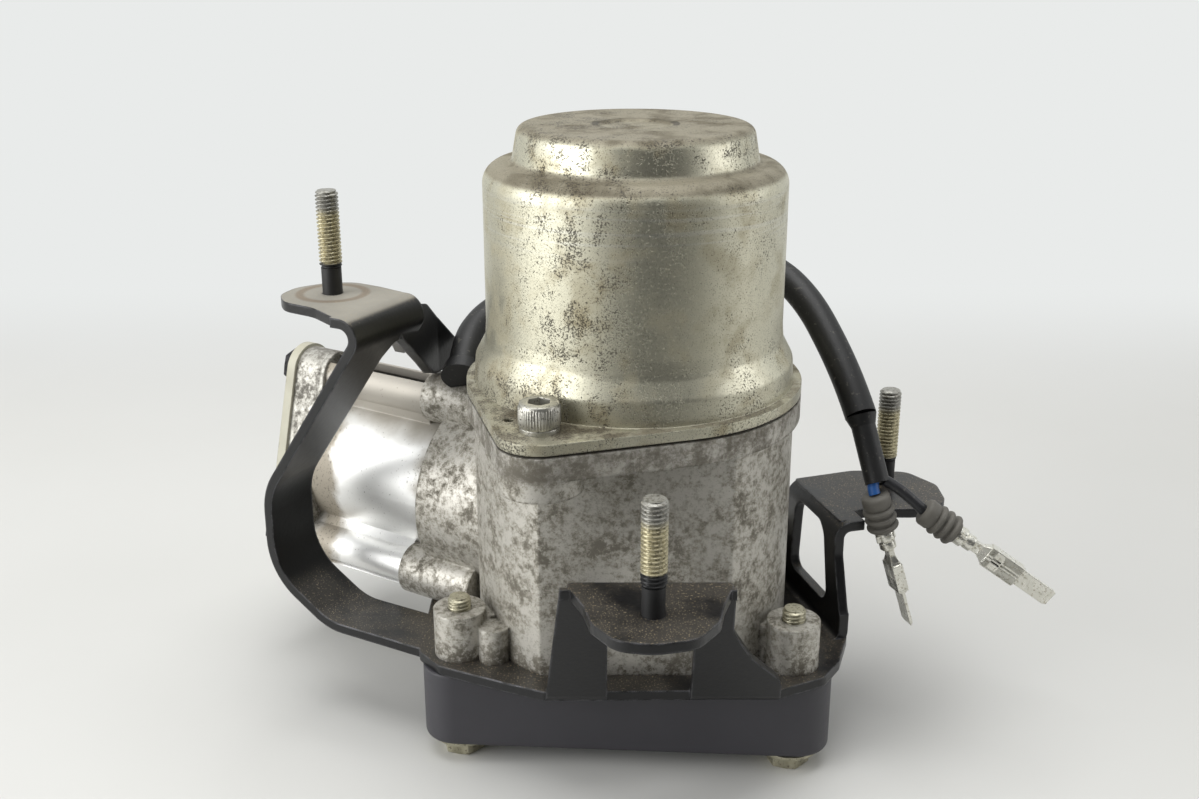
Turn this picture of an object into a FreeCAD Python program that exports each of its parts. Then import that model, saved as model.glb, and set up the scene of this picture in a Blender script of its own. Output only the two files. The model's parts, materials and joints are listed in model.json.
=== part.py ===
import FreeCAD, Part
import math
import os

# Electric pump with one side cylinder, on a folded steel bracket with three studs.
# The motor stands upright on a die-cast crankcase, and its shaft drives a crank.
# A rod and piston work in an aluminium barrel that sticks out to the left and back.
# Millimetres. +Z is up along the motor shaft. The origin is on the motor axis,
# on the flat underside of the base cover. -Y is the side of the front stud.

Vec = FreeCAD.Vector
UP = Vec(0, 0, 1)

# Clearances
slip = 0.05              # running fit of the shaft, on the radius
loose = 0.3              # clearance round bolts and between loose neighbours
bore_gap = 0.3           # piston to cylinder bore, on the radius

# Base cover, a deep black tray under the crankcase
base_height = 20.5
base_floor = 3.0
base_corner = 9.0
base_front_left = (-55.0, -30.0)
base_front_right = (51.0, -37.0)

# Four bolts from below
bolt_left = (-45.0, -21.5)
bolt_right = (40.5, -28.0)
bolt_radius = 3.0
bolt_head_flat = 5.0
bolt_head_height = 4.0
bolt_flange_radius = 8.2
bolt_flange_height = 1.5
bolt_stickout = 3.3
blind_bolt_end = 28.8      # the rear left bolt ends inside the casting, below the cylinder seat

# Bracket of folded sheet
sheet = 2.6
stud_radius = 3.0
stud_length = 27.5
stud_neck = 2.65
stud_thread = 20.0
stud_head = 5.2
stud_head_height = 1.6
stud_tip = 0.7

# Crankcase casting
wall_radius = 41.5
case_bore = 30.5
case_height = 65.9
flat_y = -34.0
rim_radius = 43.2
rim_height = 6.0
foot_radius = 6.8
foot_height = 12.6
deck_thickness = 13.0
motor_recess = 2.0
rib_width = 7.0
boss_place = (-36.0, -25.5)
boss_radius = 4.0
boss_height = 9.4

# Left arm of the bracket, in its own turned axes: across, and along the fold
left_turn = -28.9
left_near = -45.1
left_leg_width = 16.5
left_fold_width = 28.5
left_level = 110.0
left_path = [(-34.0, 0), (-69.5, 0), (-88.2, 11.7), (-88.0, 35.2), (-51.5, 0), (-62.0, 0)]
left_bends = [0, 16.0, 17.0, 18.0, 4.0, 0]
left_notch_top = 9.6       # top of the opening between the legs, below the shelf
left_notch_fall = 9.5
left_shelf = [(-74.3, -10.5), (-82.0, -0.5), (-90.5, 5.0), (-93.3, 12.0), (-90.5, 19.5), (-84.0, 24.0),
              (-76.0, 25.5), (-68.0, 20.5), (-60.6, 14.5)]
left_shelf_rounds = [1.0, 10.0, 8.0, 8.0, 8.0, 8.0, 8.0, 8.0, 1.0]
left_stud_place = (-79.5, 14.0)
rear_leg_plan = [(-63.1, 0.6), (-54.4, 23.2), (-48.4, 34.7), (-31.5, 77.5)]
rear_leg_bends = [0, 6.0, 8.0, 0]
rear_leg_top = [(1.6, 106.6), (12.5, 107.2), (17.4, 106.2), (23.2, 100.4), (34.7, 88.0), (50.0, 79.0), (66.0, 65.0),
                (77.5, 48.0)]
rear_leg_under = [(66.0, 46.0), (56.0, 57.0), (50.0, 67.0), (38.0, 79.5), (32.5, 85.2), (20.0, 85.2), (15.5, 90.0),
                  (5.0, 100.0)]
rear_leg_rounds = [0, 2.0, 4.0, 10.0, 10.0, 8.0, 8.0, 0, 4.0, 0, 0, 4.0, 6.0, 6.0, 6.0, 4.0, 4.0, 4.0, 0]
rear_leg_foot = 66.0

# Right arm of the bracket
right_turn = 15.8
right_across = 49.5
right_near = -30.0
right_far = 9.0
right_level = 54.0
right_shelf = [(55.0, -9.9), (59.5, -0.5), (76.0, -0.5), (85.5, 4.0), (85.5, 16.0), (79.0, 25.5), (64.0, 26.5),
               (46.4, 20.4)]
right_shelf_rounds = [1.0, 6.0, 6.0, 5.0, 5.0, 5.0, 9.0, 1.0]
right_stud_place = (71.2, 18.0)

# Front ear of the bracket
ear_level = 60.5
ear_foot_y = -42.0
ear_fold_y = -57.5
ear_opening = (-7.0, 13.6)
ear_bend = 3.0
ear_bend_run = 2.4
ear_foot_run = 12.0
ear_face = [(-22.6, 18.0), (-17.3, 66.0), (22.2, 66.0), (22.6, 46.0), (27.5, 37.0), (35.5, 28.5), (36.0, 18.0)]
ear_shelf = [(-17.0, -56.0), (-12.4, -67.5), (-10.8, -75.0), (-5.5, -82.8), (2.5, -84.4), (12.0, -82.0),
             (17.5, -74.0), (18.8, -67.0), (22.3, -56.0)]
ear_shelf_rounds = [1.5, 6.0, 6.0, 7.0, 12.0, 7.0, 6.0, 6.0, 1.5]
front_stud_place = (2.9, -71.0)

# Motor screws and the lugs that take them
screw_place = (-22.7, -41.6)
screw_radius = 3.0
screw_head_radius = 5.0
screw_head_height = 6.0
screw_washer = 1.0
screw_reach = 11.0
socket_flat = 2.5
socket_depth = 3.2
lug_radius = 10.2
lug_depth = 11.0
gasket_thickness = 0.7
flange_hole_place = (-30.2, -35.1)
flange_hole_radius = 1.3

# Motor can, deep drawn
can_radius = 37.8
can_wall = 1.8
can_flange = 2.6
can_flare = 41.0
flare_height = 11.0
can_rise = 58.5             # shoulder of the can above the casting
shoulder_fillet = 5.0
cap_radius = 30.6
cap_top_radius = 29.0
cap_height = 9.0
cap_fillet = 2.5
dimple_radius = 9.5
dimple_depth = 0.8

# Shaft and bearings
shaft_radius = 4.0
bush_radius = 7.5
bush_height = 8.0
bearing_outer = 11.0
bearing_height = 7.0
bearing_race = 1.9
ball_radius = 2.0
ball_count = 7

# Motor inside
magnet_thickness = 6.0
magnet_height = 36.0
magnet_angle = 130.0
air_gap = 0.8
core_slots = 8
slot_width = 3.0
slot_depth = 7.0
core_height = 30.0
core_rise = 19.0            # underside of the core above the casting
coil_radius = 22.0
coil_height = 6.0
commutator_radius = 9.0
commutator_height = 9.0
commutator_bars = 8
brush_width = 5.0
brush_height = 5.0
brush_plate_thickness = 2.0
brush_plate_hole = 11.5

# Cylinder, seen along its own axis
cylinder_turn = 32.0
cylinder_rise = 26.4        # axis of the cylinder above the bracket plate
collar_radius = 27.0
collar_end = 53.0
lug_end = 60.0
lug_start = 36.0
casting_lug_radius = 7.2
bolt_circle = 28.5
bolt_turn = 75.0
barrel_end = 96.0
barrel_radius = 22.5
bore_radius = 18.5
channel_radius = 6.0
channel_hole = 3.5
channel_slot = 4.6
spigot_depth = 7.0
spigot_wall = 1.6
valve_thickness = 1.6
head_thickness = 9.0
head_wall = 3.0
head_belt_radius = 6.8
head_plate_thickness = 3.0
head_lug_radius = 7.6
long_bolt_radius = 2.9
long_bolt_head = 5.0
long_bolt_head_height = 4.0
long_bolt_grip = 12.0
seal_width = 1.4
seal_height = 0.8

# Crank, rod and piston
throw = 12.0
pin_radius = 3.0
web_thickness = 7.0
web_radius = 15.0
web_gap = 0.5
eye_radius = 8.5
eye_height = 8.0
needle_wall = 1.5
rod_width = 8.0
rod_height = 6.0
small_eye = 5.0
wrist_radius = 2.5
piston_height = 15.0
crown_gap = 1.2
pin_to_crown = 9.0
ring_height = 1.6
ring_depth = 1.6
piston_wall = 3.0

# Suction nipple on the back of the head
nipple_stem = 2.6
nipple_neck = 3.2
nipple_bore = 1.6
nipple_length = 16.0
nipple_barb = 4.2
nipple_barb_length = 4.0
nipple_collar = 1.5

# Lead: grommet, sleeve, boot, two wires with seals and tab terminals
grommet_radius = 5.6
grommet_height = 4.0
sleeve_radius = 4.2
boot_radius = 3.2
boot_grip = 3.0
wire_radius = 1.5
seal_radius_outer = 4.2
seal_ribs = 3
seal_length = 10.5
seal_rib = 1.3
seal_pitch = 2.3
seal_neck = 3.0
seal_groove = 0.9
terminal_barrel = 2.0
terminal_width = 5.6
terminal_thickness = 0.9
terminal_crimp = 5.0
terminal_neck = 5.0
terminal_box = 1.5
terminal_tab = 11.0
terminal_step = 0.4

# Routes of the lead, chosen by hand from the photograph
sleeve_route = [
    (-46.0, 17.5, 88.4), (-45.4, 24.5, 92.8), (-43.0, 33.0, 96.0), (-37.5, 41.5, 98.6),
    (-29.0, 48.0, 100.8), (-17.0, 53.0, 103.2), (-1.0, 55.5, 106.0), (15.0, 54.0, 109.0),
    (29.5, 47.5, 111.5), (40.5, 37.5, 111.0), (48.5, 26.0, 104.8), (54.0, 14.0, 95.2),
    (57.8, 4.5, 86.5), (59.6, -0.5, 80.8)]
boot_end = (63.4, -9.0, 65.2)
short_route = [(62.2, -9.3, 65.4), (62.1, -9.9, 64.6), (62.2, -10.5, 63.7), (62.5, -11.0, 62.7)]
long_route = [(65.2, -9.1, 66.0), (68.3, -9.4, 64.3), (72.0, -9.7, 61.3), (75.7, -10.0, 57.9)]
short_end = (74.1, -10.0, 25.0)
long_end = (109.8, -15.0, 34.7)

# Derived levels and directions
plate_top = base_height + sheet
case_top = plate_top + case_height
cylinder_level = plate_top + cylinder_rise
core_bottom = case_top + core_rise
can_shoulder = case_top + can_rise
gasket_top = case_top + gasket_thickness
flange_top = gasket_top + can_flange
turn = math.radians(cylinder_turn)
sump_radius = case_bore
outward = Vec(-math.cos(turn), math.sin(turn), 0)
sideways = Vec(-math.sin(turn), -math.cos(turn), 0)
axis_point = Vec(0, 0, cylinder_level)
wrist_station = barrel_end - crown_gap - pin_to_crown
rod_length = wrist_station - throw
head_start = barrel_end + valve_thickness
head_side = bolt_circle / 2 + head_belt_radius
plate_start = head_start + head_thickness
plate_end = plate_start + head_plate_thickness
web_bottom = cylinder_level + eye_height / 2 + web_gap
magnet_outer = can_radius - can_wall - slip
core_radius = magnet_outer - magnet_thickness - air_gap
bolt_places = [bolt_left, bolt_right, (bolt_right[0], -bolt_right[1]), (bolt_left[0], -bolt_left[1])]
bolt_names = ["front_left", "front_right", "rear_right", "rear_left"]
screw_places = [screw_place, (-screw_place[0], -screw_place[1])]


def drum(radius, height, z=0.0, x=0.0, y=0.0):
    """Upright cylinder standing at height z."""
    return Part.makeCylinder(radius, height, Vec(x, y, z))


def ring(outer, inner, height, z=0.0, x=0.0, y=0.0):
    """Upright tube standing at height z."""
    return drum(outer, height, z, x, y).cut(drum(inner, height, z, x, y))


def block(x0, x1, y0, y1, z0, z1):
    """Box between two corners."""
    return Part.makeBox(x1 - x0, y1 - y0, z1 - z0, Vec(x0, y0, z0))


def fuse(shapes):
    """One solid from several that overlap, with leftover seams removed."""
    whole = shapes[0]
    if len(shapes) > 1:
        whole = shapes[0].fuse(shapes[1:])
    return whole.removeSplitter()


def rounded_outline(corners, radii, z=0.0):
    """Closed wire through the corners, each one rounded by a tangent arc."""
    points = [Vec(x, y, z) for x, y in corners]
    edges = []
    starts, ends, mids = [], [], []
    count = len(points)
    for i, p in enumerate(points):
        before = (points[i - 1] - p).normalize()
        after = (points[(i + 1) % count] - p).normalize()
        half = before.getAngle(after) / 2
        reach = radii[i] / math.tan(half) if radii[i] > 0 else 0.0
        starts.append(p + before * reach)
        ends.append(p + after * reach)
        middle = (before + after).normalize()
        mids.append(p + middle * (radii[i] / math.sin(half) - radii[i]) if radii[i] > 0 else p)
    for i in range(count):
        if radii[i] > 0:
            edges.append(Part.Arc(starts[i], mids[i], ends[i]).toShape())
        nxt = (i + 1) % count
        if ends[i].distanceToPoint(starts[nxt]) > 1e-6:
            edges.append(Part.LineSegment(ends[i], starts[nxt]).toShape())
    return Part.Wire(edges)


def slab(wire, height):
    """Solid pulled straight up from a closed flat wire."""
    return Part.Face(wire).extrude(UP * height)


def belt(circles, height, z=0.0):
    """Plate whose edge runs round the circles like a tight belt, anticlockwise."""
    edges = []
    joins = []
    count = len(circles)
    for i in range(count):
        x0, y0, r0 = circles[i]
        x1, y1, r1 = circles[(i + 1) % count]
        gap = math.hypot(x1 - x0, y1 - y0)
        heading = math.atan2(y1 - y0, x1 - x0)
        lean = heading - math.pi / 2 + math.asin((r1 - r0) / gap) * -1.0
        normal = Vec(math.cos(lean), math.sin(lean), 0)
        joins.append((Vec(x0, y0, z) + normal * r0, Vec(x1, y1, z) + normal * r1, lean))
    for i in range(count):
        start, end, lean = joins[i]
        edges.append(Part.LineSegment(start, end).toShape())
        nxt = joins[(i + 1) % count]
        x1, y1, r1 = circles[(i + 1) % count]
        sweep = (nxt[2] - lean) % (2 * math.pi)
        middle = lean + sweep / 2
        mid = Vec(x1, y1, z) + Vec(math.cos(middle), math.sin(middle), 0) * r1
        edges.append(Part.Arc(end, mid, nxt[0]).toShape())
    return slab(Part.Wire(edges), height)


def along(shape):
    """Turn a shape built upright at the origin so that up becomes the cylinder axis."""
    matrix = FreeCAD.Matrix()
    columns = [sideways, Vec(0, 0, 1), outward]
    matrix.A11, matrix.A21, matrix.A31 = columns[0]
    matrix.A12, matrix.A22, matrix.A32 = columns[1]
    matrix.A13, matrix.A23, matrix.A33 = columns[2]
    matrix.A14, matrix.A24, matrix.A34 = axis_point
    placed = shape.copy()
    placed.Placement = FreeCAD.Placement(matrix).multiply(shape.Placement)
    return placed


def on_bolt_circle(step, radius=bolt_circle):
    """Place of one long bolt in the cylinder's own plane."""
    angle = math.radians(bolt_turn + 120.0 * step)
    return radius * math.cos(angle), radius * math.sin(angle)


def hexagon(flat, height, z=0.0, x=0.0, y=0.0):
    """Six-sided prism by half the width across its flats."""
    reach = flat / math.cos(math.radians(30))
    corners = []
    for i in range(6):
        angle = math.radians(60 * i + 15)
        corners.append(Vec(x + reach * math.cos(angle), y + reach * math.sin(angle), z))
    return slab(Part.makePolygon(corners + corners[:1]), height)


def base_cover():
    """Tray with a flat floor, rounded corners and four bolt columns."""
    fl, fr = base_front_left, base_front_right
    corners = [fl, fr, (fr[0], -fr[1]), (fl[0], -fl[1])]
    body = slab(rounded_outline(corners, [base_corner] * 4), base_height)
    low = min(body.Edges, key=lambda e: e.CenterOfMass.z)
    bottom = [e for e in body.Edges if abs(e.CenterOfMass.z - low.CenterOfMass.z) < 1e-6]
    body = body.makeFillet(1.2, bottom)
    body = body.cut(drum(sump_radius, base_height, base_floor))
    for x, y in bolt_places:
        body = body.cut(drum(bolt_radius + loose, base_height, 0, x, y))
    return body


def base_bolt(place):
    """Flange bolt whose end stands proud of the casting's foot."""
    x, y = place
    blind = place == bolt_places[3]
    reach = blind_bolt_end if blind else plate_top + foot_height + bolt_stickout
    head = hexagon(bolt_head_flat, bolt_head_height, -bolt_flange_height - bolt_head_height, x, y)
    skirt = drum(bolt_flange_radius, bolt_flange_height, -bolt_flange_height, x, y)
    shank = drum(bolt_radius, reach, 0, x, y)
    shank = shank.makeChamfer(0.6, [shank.Edges[0]])
    return fuse([head, skirt, shank])


def case_rim():
    """Top rim with a screw lug at the front left and one opposite."""
    (x0, y0), (x1, y1) = screw_places
    circles = [(x0, y0, lug_radius), (0.01, 0, rim_radius), (x1, y1, lug_radius), (-0.01, 0, rim_radius)]
    return belt(circles, rim_height, case_top - rim_height)


def pump_housing():
    """Die-cast crankcase with rim, lugs, feet and the cylinder collar."""
    tall = case_top - plate_top
    wall = drum(wall_radius, tall, plate_top)
    face = block(-wall_radius, wall_radius, -wall_radius - 1, flat_y, plate_top, case_top - rim_height)
    parts = [wall.cut(face), case_rim()]
    for x, y in screw_places:
        lug = drum(lug_radius, lug_depth, case_top - lug_depth, x, y)
        parts.append(lug)
    for x, y in bolt_places:
        parts.append(drum(foot_radius, foot_height, plate_top, x, y))
        parts.append(foot_web(x, y))
    parts.append(drum(boss_radius, boss_height, plate_top, boss_place[0], boss_place[1]))
    parts.append(along(drum(collar_radius, collar_end - 20, 20)))
    for step in range(3):
        u, v = on_bolt_circle(step)
        parts.append(along(drum(casting_lug_radius, lug_end - lug_start, lug_start, u, v)))
    body = fuse(parts)
    body = body.cut(block(-80, 80, -80, 80, plate_top - 20, plate_top))
    chamber = drum(case_bore, tall - deck_thickness, plate_top)
    seat = drum(bearing_outer, bearing_height, case_top - bearing_height - 2)
    through = drum(shaft_radius + 3.0, tall, plate_top)
    recess = drum(can_radius - can_wall - 1.0, motor_recess, case_top - motor_recess)
    rod_way = along(drum(bore_radius - spigot_wall - 1.4, collar_end, 10))
    spigot_seat = along(drum(bore_radius + spigot_wall, spigot_depth, collar_end - spigot_depth))
    body = body.cut([chamber, seat, through, recess, rod_way, spigot_seat])
    seal_groove = along(ring(bore_radius + spigot_wall + seal_width, bore_radius, seal_height, collar_end - seal_height))
    barrel_way = along(drum(barrel_radius + slip, lug_end, collar_end))
    body = body.cut([seal_groove, barrel_way, lead_grommet()])
    for x, y in bolt_places[:3]:
        body = body.cut(drum(bolt_radius + slip, foot_height + 1, plate_top - 0.5, x, y))
    x, y = bolt_places[3]
    body = body.cut(drum(bolt_radius + slip, blind_bolt_end - plate_top + 1, plate_top - 0.5, x, y))
    for x, y in screw_places:
        body = body.cut(drum(screw_radius + slip, screw_reach, case_top - screw_reach, x, y))
    for step in range(3):
        u, v = on_bolt_circle(step)
        hole = drum(long_bolt_radius + slip, long_bolt_grip + 1, lug_end - long_bolt_grip, u, v)
        body = body.cut(along(hole))
    return body


def foot_web(x, y):
    """Thick web that ties a foot to the crankcase wall."""
    far = math.hypot(x, y)
    web = block(wall_radius - 8, far, -rib_width / 2, rib_width / 2, plate_top, plate_top + foot_height - 2.5)
    web.rotate(Vec(0, 0, 0), UP, math.degrees(math.atan2(y, x)))
    return web


def motor_gasket():
    """Thin gasket between casting and can flange."""
    (x0, y0), (x1, y1) = screw_places
    r = rim_radius - 0.8
    circles = [(x0, y0, lug_radius - 0.8), (0.01, 0, r), (x1, y1, lug_radius - 0.8), (-0.01, 0, r)]
    sheet_shape = belt(circles, gasket_thickness, case_top)
    cuts = [drum(can_radius - can_wall - 1.0, gasket_thickness, case_top)]
    for x, y in screw_places:
        cuts.append(drum(screw_radius + loose, gasket_thickness, case_top, x, y))
    return sheet_shape.cut(cuts)


def can_half_outline():
    """Half section of the drawn can, from the flange to the middle of its cap."""
    z0 = gasket_top
    top = can_shoulder + cap_height
    outer = [
        (can_flare + 1.0, z0), (can_flare + 1.0, flange_top), (can_flare, flange_top),
        (can_flare - 0.3, flange_top + flare_height * 0.55),
        (can_radius + 0.3, flange_top + flare_height), (can_radius, flange_top + flare_height + 4),
        (can_radius, can_shoulder), (cap_radius, can_shoulder),
        (cap_top_radius, top), (dimple_radius, top),
        (dimple_radius - 1.2, top - dimple_depth), (0, top - dimple_depth)]
    inside = can_radius - can_wall
    inner = [
        (0, top - can_wall - dimple_depth), (cap_top_radius - can_wall, top - can_wall - dimple_depth),
        (cap_radius - can_wall, can_shoulder - can_wall), (inside, can_shoulder - can_wall),
        (inside, z0)]
    return outer, inner


def motor_can():
    """Deep-drawn steel can in one piece with its flange."""
    outer, inner = can_half_outline()
    corners = outer + inner
    radii = [0, 0, 0, 2.5, 4.0, 3.0, shoulder_fillet, 1.6, cap_fillet, 0.6, 0.3, 0, 0, 0.8, 0.8, 2.5, 0]
    wire = rounded_outline(corners, radii)
    wire.rotate(Vec(0, 0, 0), Vec(1, 0, 0), 90)
    body = Part.Face(wire).revolve(Vec(0, 0, 0), UP, 360)
    (x0, y0), (x1, y1) = screw_places
    circles = [(x0, y0, lug_radius), (0.01, 0, rim_radius), (x1, y1, lug_radius), (-0.01, 0, rim_radius)]
    flange = belt(circles, can_flange, gasket_top)
    flange = flange.cut(drum(can_radius - 1.0, can_flange, gasket_top))
    body = fuse([body, flange])
    for x, y in screw_places:
        body = body.cut(drum(screw_radius + loose, can_flange + 1, gasket_top - 0.5, x, y))
    x, y = flange_hole_place
    body = body.cut(drum(flange_hole_radius, can_flange + 1, gasket_top - 0.5, x, y))
    sleeve = ring(bush_radius + 1.6, bush_radius, bush_height, bush_bottom())
    return fuse([body, sleeve])


def bush_bottom():
    """Underside of the top bush, which hangs from the can's cap."""
    return can_shoulder + cap_height - can_wall - dimple_depth - bush_height


def motor_screw(place):
    """Socket cap screw with its spring washer."""
    x, y = place
    seat = flange_top + screw_washer
    head = drum(screw_head_radius, screw_head_height, seat, x, y)
    head = head.makeFillet(0.6, [head.Edges[0]])
    head = head.cut(hexagon(socket_flat, socket_depth, seat + screw_head_height - socket_depth, x, y))
    washer = drum(screw_head_radius - 0.3, screw_washer, flange_top, x, y)
    shank = drum(screw_radius, flange_top - case_top + screw_reach - 1, case_top - screw_reach + 1, x, y)
    return fuse([head, washer, shank])


def ribbon(points, radii, thickness):
    """Flat outline of a folded sheet seen from its edge, with tangent bends."""
    half = thickness / 2
    left, right, left_r, right_r = [], [], [], []
    count = len(points)
    for i, (x, z) in enumerate(points):
        prev = points[max(i - 1, 0)]
        nxt = points[min(i + 1, count - 1)]
        a = (x - prev[0], z - prev[1]) if i > 0 else (nxt[0] - x, nxt[1] - z)
        b = (nxt[0] - x, nxt[1] - z) if i < count - 1 else a
        la, lb = math.hypot(*a), math.hypot(*b)
        a, b = (a[0] / la, a[1] / la), (b[0] / lb, b[1] / lb)
        cross = a[0] * b[1] - a[1] * b[0]
        dot = a[0] * b[0] + a[1] * b[1]
        mitre = half / (1 + dot)
        nx, nz = -(a[1] + b[1]) * mitre, (a[0] + b[0]) * mitre
        left.append((x + nx, z + nz))
        right.append((x - nx, z - nz))
        inner = max(radii[i] - half, 0.4) if radii[i] > 0 else 0
        outer = radii[i] + half if radii[i] > 0 else 0
        left_r.append(inner if cross > 0 else outer)
        right_r.append(outer if cross > 0 else inner)
    return left + right[::-1], left_r + right_r[::-1]


def folded(points, radii, y0, y1):
    """Sheet folded along Y: its edge outline in XZ, pulled from y0 to y1."""
    corners, rounds = ribbon(points, radii, sheet)
    wire = rounded_outline(corners, rounds)
    wire.rotate(Vec(0, 0, 0), Vec(1, 0, 0), 90)
    wire.translate(Vec(0, y0, 0))
    return Part.Face(wire).extrude(Vec(0, y1 - y0, 0))


def bracket_plate():
    """Flat part of the bracket, clamped between base cover and casting."""
    fr = base_front_right
    back = -fr[1]
    corners = [
        (-56.0, -22.0), (-50.0, -29.5), (-33.0, -37.5), (-22.6, ear_foot_y), (36.0, ear_foot_y + 1.0),
        (48.0, -35.0), (53.0, -27.0), (57.0, -14.5), (45.0, 28.5), (fr[0] - 3.0, back - 2.0), (38.0, back + 1.0),
        (-10.0, back + 1.0), (-16.0, 50.0), (-28.5, 78.5), (-33.0, 79.0), (-41.0, 66.0), (-45.0, back),
        (-55.0, 30.0), (-56.0, 6.0)]
    radii = [3.0, 3.0, 4.0, 1.0, 1.0, 4.0, 3.0, 1.0, 1.0, 4.0, 4.0, 12.0, 14.0, 1.0, 1.0, 6.0, 4.0, 6.0, 4.0]
    return slab(rounded_outline(corners, radii, base_height), sheet)


def left_arm():
    """Curved near leg, fold and shelf of the left arm."""
    mid = base_height + sheet / 2
    top = left_level - sheet / 2
    levels = [mid, mid, mid, mid, top, top]
    path = [(x, z + level) for (x, z), level in zip(left_path, levels)]
    near, leg = left_near, left_near + left_leg_width
    far = near + left_fold_width
    strip = folded(path, left_bends, near, far)
    peak = left_level - left_notch_top
    notch = [(leg, 0), (leg, peak - sheet * 2), (leg + sheet, peak), (far + sheet, peak - left_notch_fall), (far + sheet, 0)]
    wire = rounded_outline(notch, [0, 4.0, 1.6, 0, 0])
    wire.rotate(Vec(0, 0, 0), Vec(1, 0, 0), 90)
    cutter = Part.Face(wire).extrude(Vec(0, left_path[3][0] * 2, 0))
    cutter.rotate(Vec(0, 0, 0), UP, 90)
    cutter.translate(Vec(left_path[3][0] * 2, 0, 0))
    strip = strip.cut(cutter)
    strip.rotate(Vec(0, 0, 0), UP, left_turn)
    shelf = slab(rounded_outline(left_shelf, left_shelf_rounds, left_level - sheet), sheet)
    return [strip, shelf]


def rear_leg():
    """Far leg of the left arm, over the top of the barrel and down behind it."""
    corners, rounds = ribbon(rear_leg_plan, rear_leg_bends, sheet)
    strip = slab(rounded_outline(corners, rounds, base_height), left_level)
    back = rear_leg_plan[-1][1] + sheet
    side = rear_leg_top + [(back, rear_leg_top[-1][1]), (back, base_height), (rear_leg_foot, base_height)]
    side += rear_leg_under
    wire = rounded_outline(side, rear_leg_rounds)
    wire.rotate(Vec(0, 0, 0), Vec(1, 1, 1), 120)
    wire.translate(Vec(-100, 0, 0))
    return strip.common(Part.Face(wire).extrude(Vec(120, 0, 0)))


def right_arm():
    """Right arm: an upright sheet with a tall slot, folded out into a shelf."""
    mid = base_height + sheet / 2
    top = right_level - sheet / 2
    path = [(right_across - 14, mid), (right_across, mid), (right_across, top), (right_across + 7, top)]
    strip = folded(path, [0, 3.2, 3.2, 0], right_near, right_far)
    slot_low, slot_high = base_height + 9.0, right_level - 3.0
    slot = [(right_near + 8.5, slot_low), (right_far - 6.0, slot_low), (right_far - 8.0, slot_high),
            (right_near + 13.0, slot_high)]
    wire = rounded_outline(slot, [3.5, 3.5, 5.0, 5.0])
    lean = [(right_near - 5, base_height + 8.0), (right_near, base_height + 8.0), (right_near + 5.5, right_level - 9.0),
            (right_near + 5.5, right_level + 1.0), (right_near - 5, right_level + 1.0)]
    trim = rounded_outline(lean, [0, 5.0, 5.0, 0, 0])
    rear = [(right_far + 5, base_height + 8.0), (right_far, base_height + 8.0), (right_far - 2.0, right_level - 9.0),
            (right_far - 2.0, right_level + 1.0), (right_far + 5, right_level + 1.0)]
    back = rounded_outline(rear, [0, 5.0, 5.0, 0, 0])
    for outline in (wire, trim, back):
        outline.rotate(Vec(0, 0, 0), Vec(1, 0, 0), 90)
        cutter = Part.Face(outline).extrude(Vec(0, -30, 0))
        cutter.rotate(Vec(0, 0, 0), UP, 90)
        cutter.translate(Vec(right_across - 15, 0, 0))
        strip = strip.cut(cutter)
    strip.rotate(Vec(0, 0, 0), UP, right_turn)
    shelf = slab(rounded_outline(right_shelf, right_shelf_rounds, right_level - sheet), sheet)
    return [strip, shelf]


def front_ear():
    """Two leaning legs and a rounded shelf in front of the casting."""
    mid = base_height + sheet / 2
    top = ear_level - sheet / 2
    path = [(-ear_foot_y - ear_foot_run, mid), (-ear_foot_y, mid), (-ear_fold_y, top), (-ear_fold_y + ear_bend_run, top)]
    legs = folded(path, [0, ear_bend, ear_bend, 0], -wall_radius, wall_radius)
    legs.rotate(Vec(0, 0, 0), UP, -90)
    face = rounded_outline(ear_face, [0, 1.5, 1.5, 8.0, 10.0, 5.0, 0])
    face.rotate(Vec(0, 0, 0), Vec(1, 0, 0), 90)
    legs = legs.common(Part.Face(face).extrude(Vec(0, -100, 0)))
    x0, x1 = ear_opening
    legs = legs.cut(block(x0, x1, -80, -ear_foot_y * -1 + 2.5, base_height - 1, ear_level - 9.0))
    shelf = slab(rounded_outline(ear_shelf, ear_shelf_rounds, ear_level - sheet), sheet)
    return [legs, shelf]


def mounting_bracket():
    """One bracket: plate, front ear, left arm with two legs and right arm."""
    body = fuse([bracket_plate()] + front_ear() + left_arm() + [rear_leg()] + right_arm())
    cuts = [drum(sump_radius, sheet + 2, base_height - 1)]
    for x, y in bolt_places:
        cuts.append(drum(bolt_radius + loose, sheet + 2, base_height - 1, x, y))
    for (x, y), level in stud_seats():
        cuts.append(drum(stud_neck, sheet + 2, level - sheet - 1, x, y))
    return body.cut(cuts)


def stud_seats():
    """Place of each stud with the level of its shelf."""
    return [(front_stud_place, ear_level), (left_stud_place, left_level), (right_stud_place, right_level)]


def stud(place, level):
    """Fixing stud with a flat head under the shelf and a thread above a plain neck."""
    x, y = place
    head = drum(stud_head, stud_head_height, level - sheet - stud_head_height, x, y)
    neck = drum(stud_neck, sheet + stud_length, level - sheet, x, y)
    thread = drum(stud_radius, stud_thread, level + stud_length - stud_thread, x, y)
    thread = thread.makeChamfer(stud_tip, [thread.Edges[0]])
    return fuse([head, neck, thread])


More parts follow.
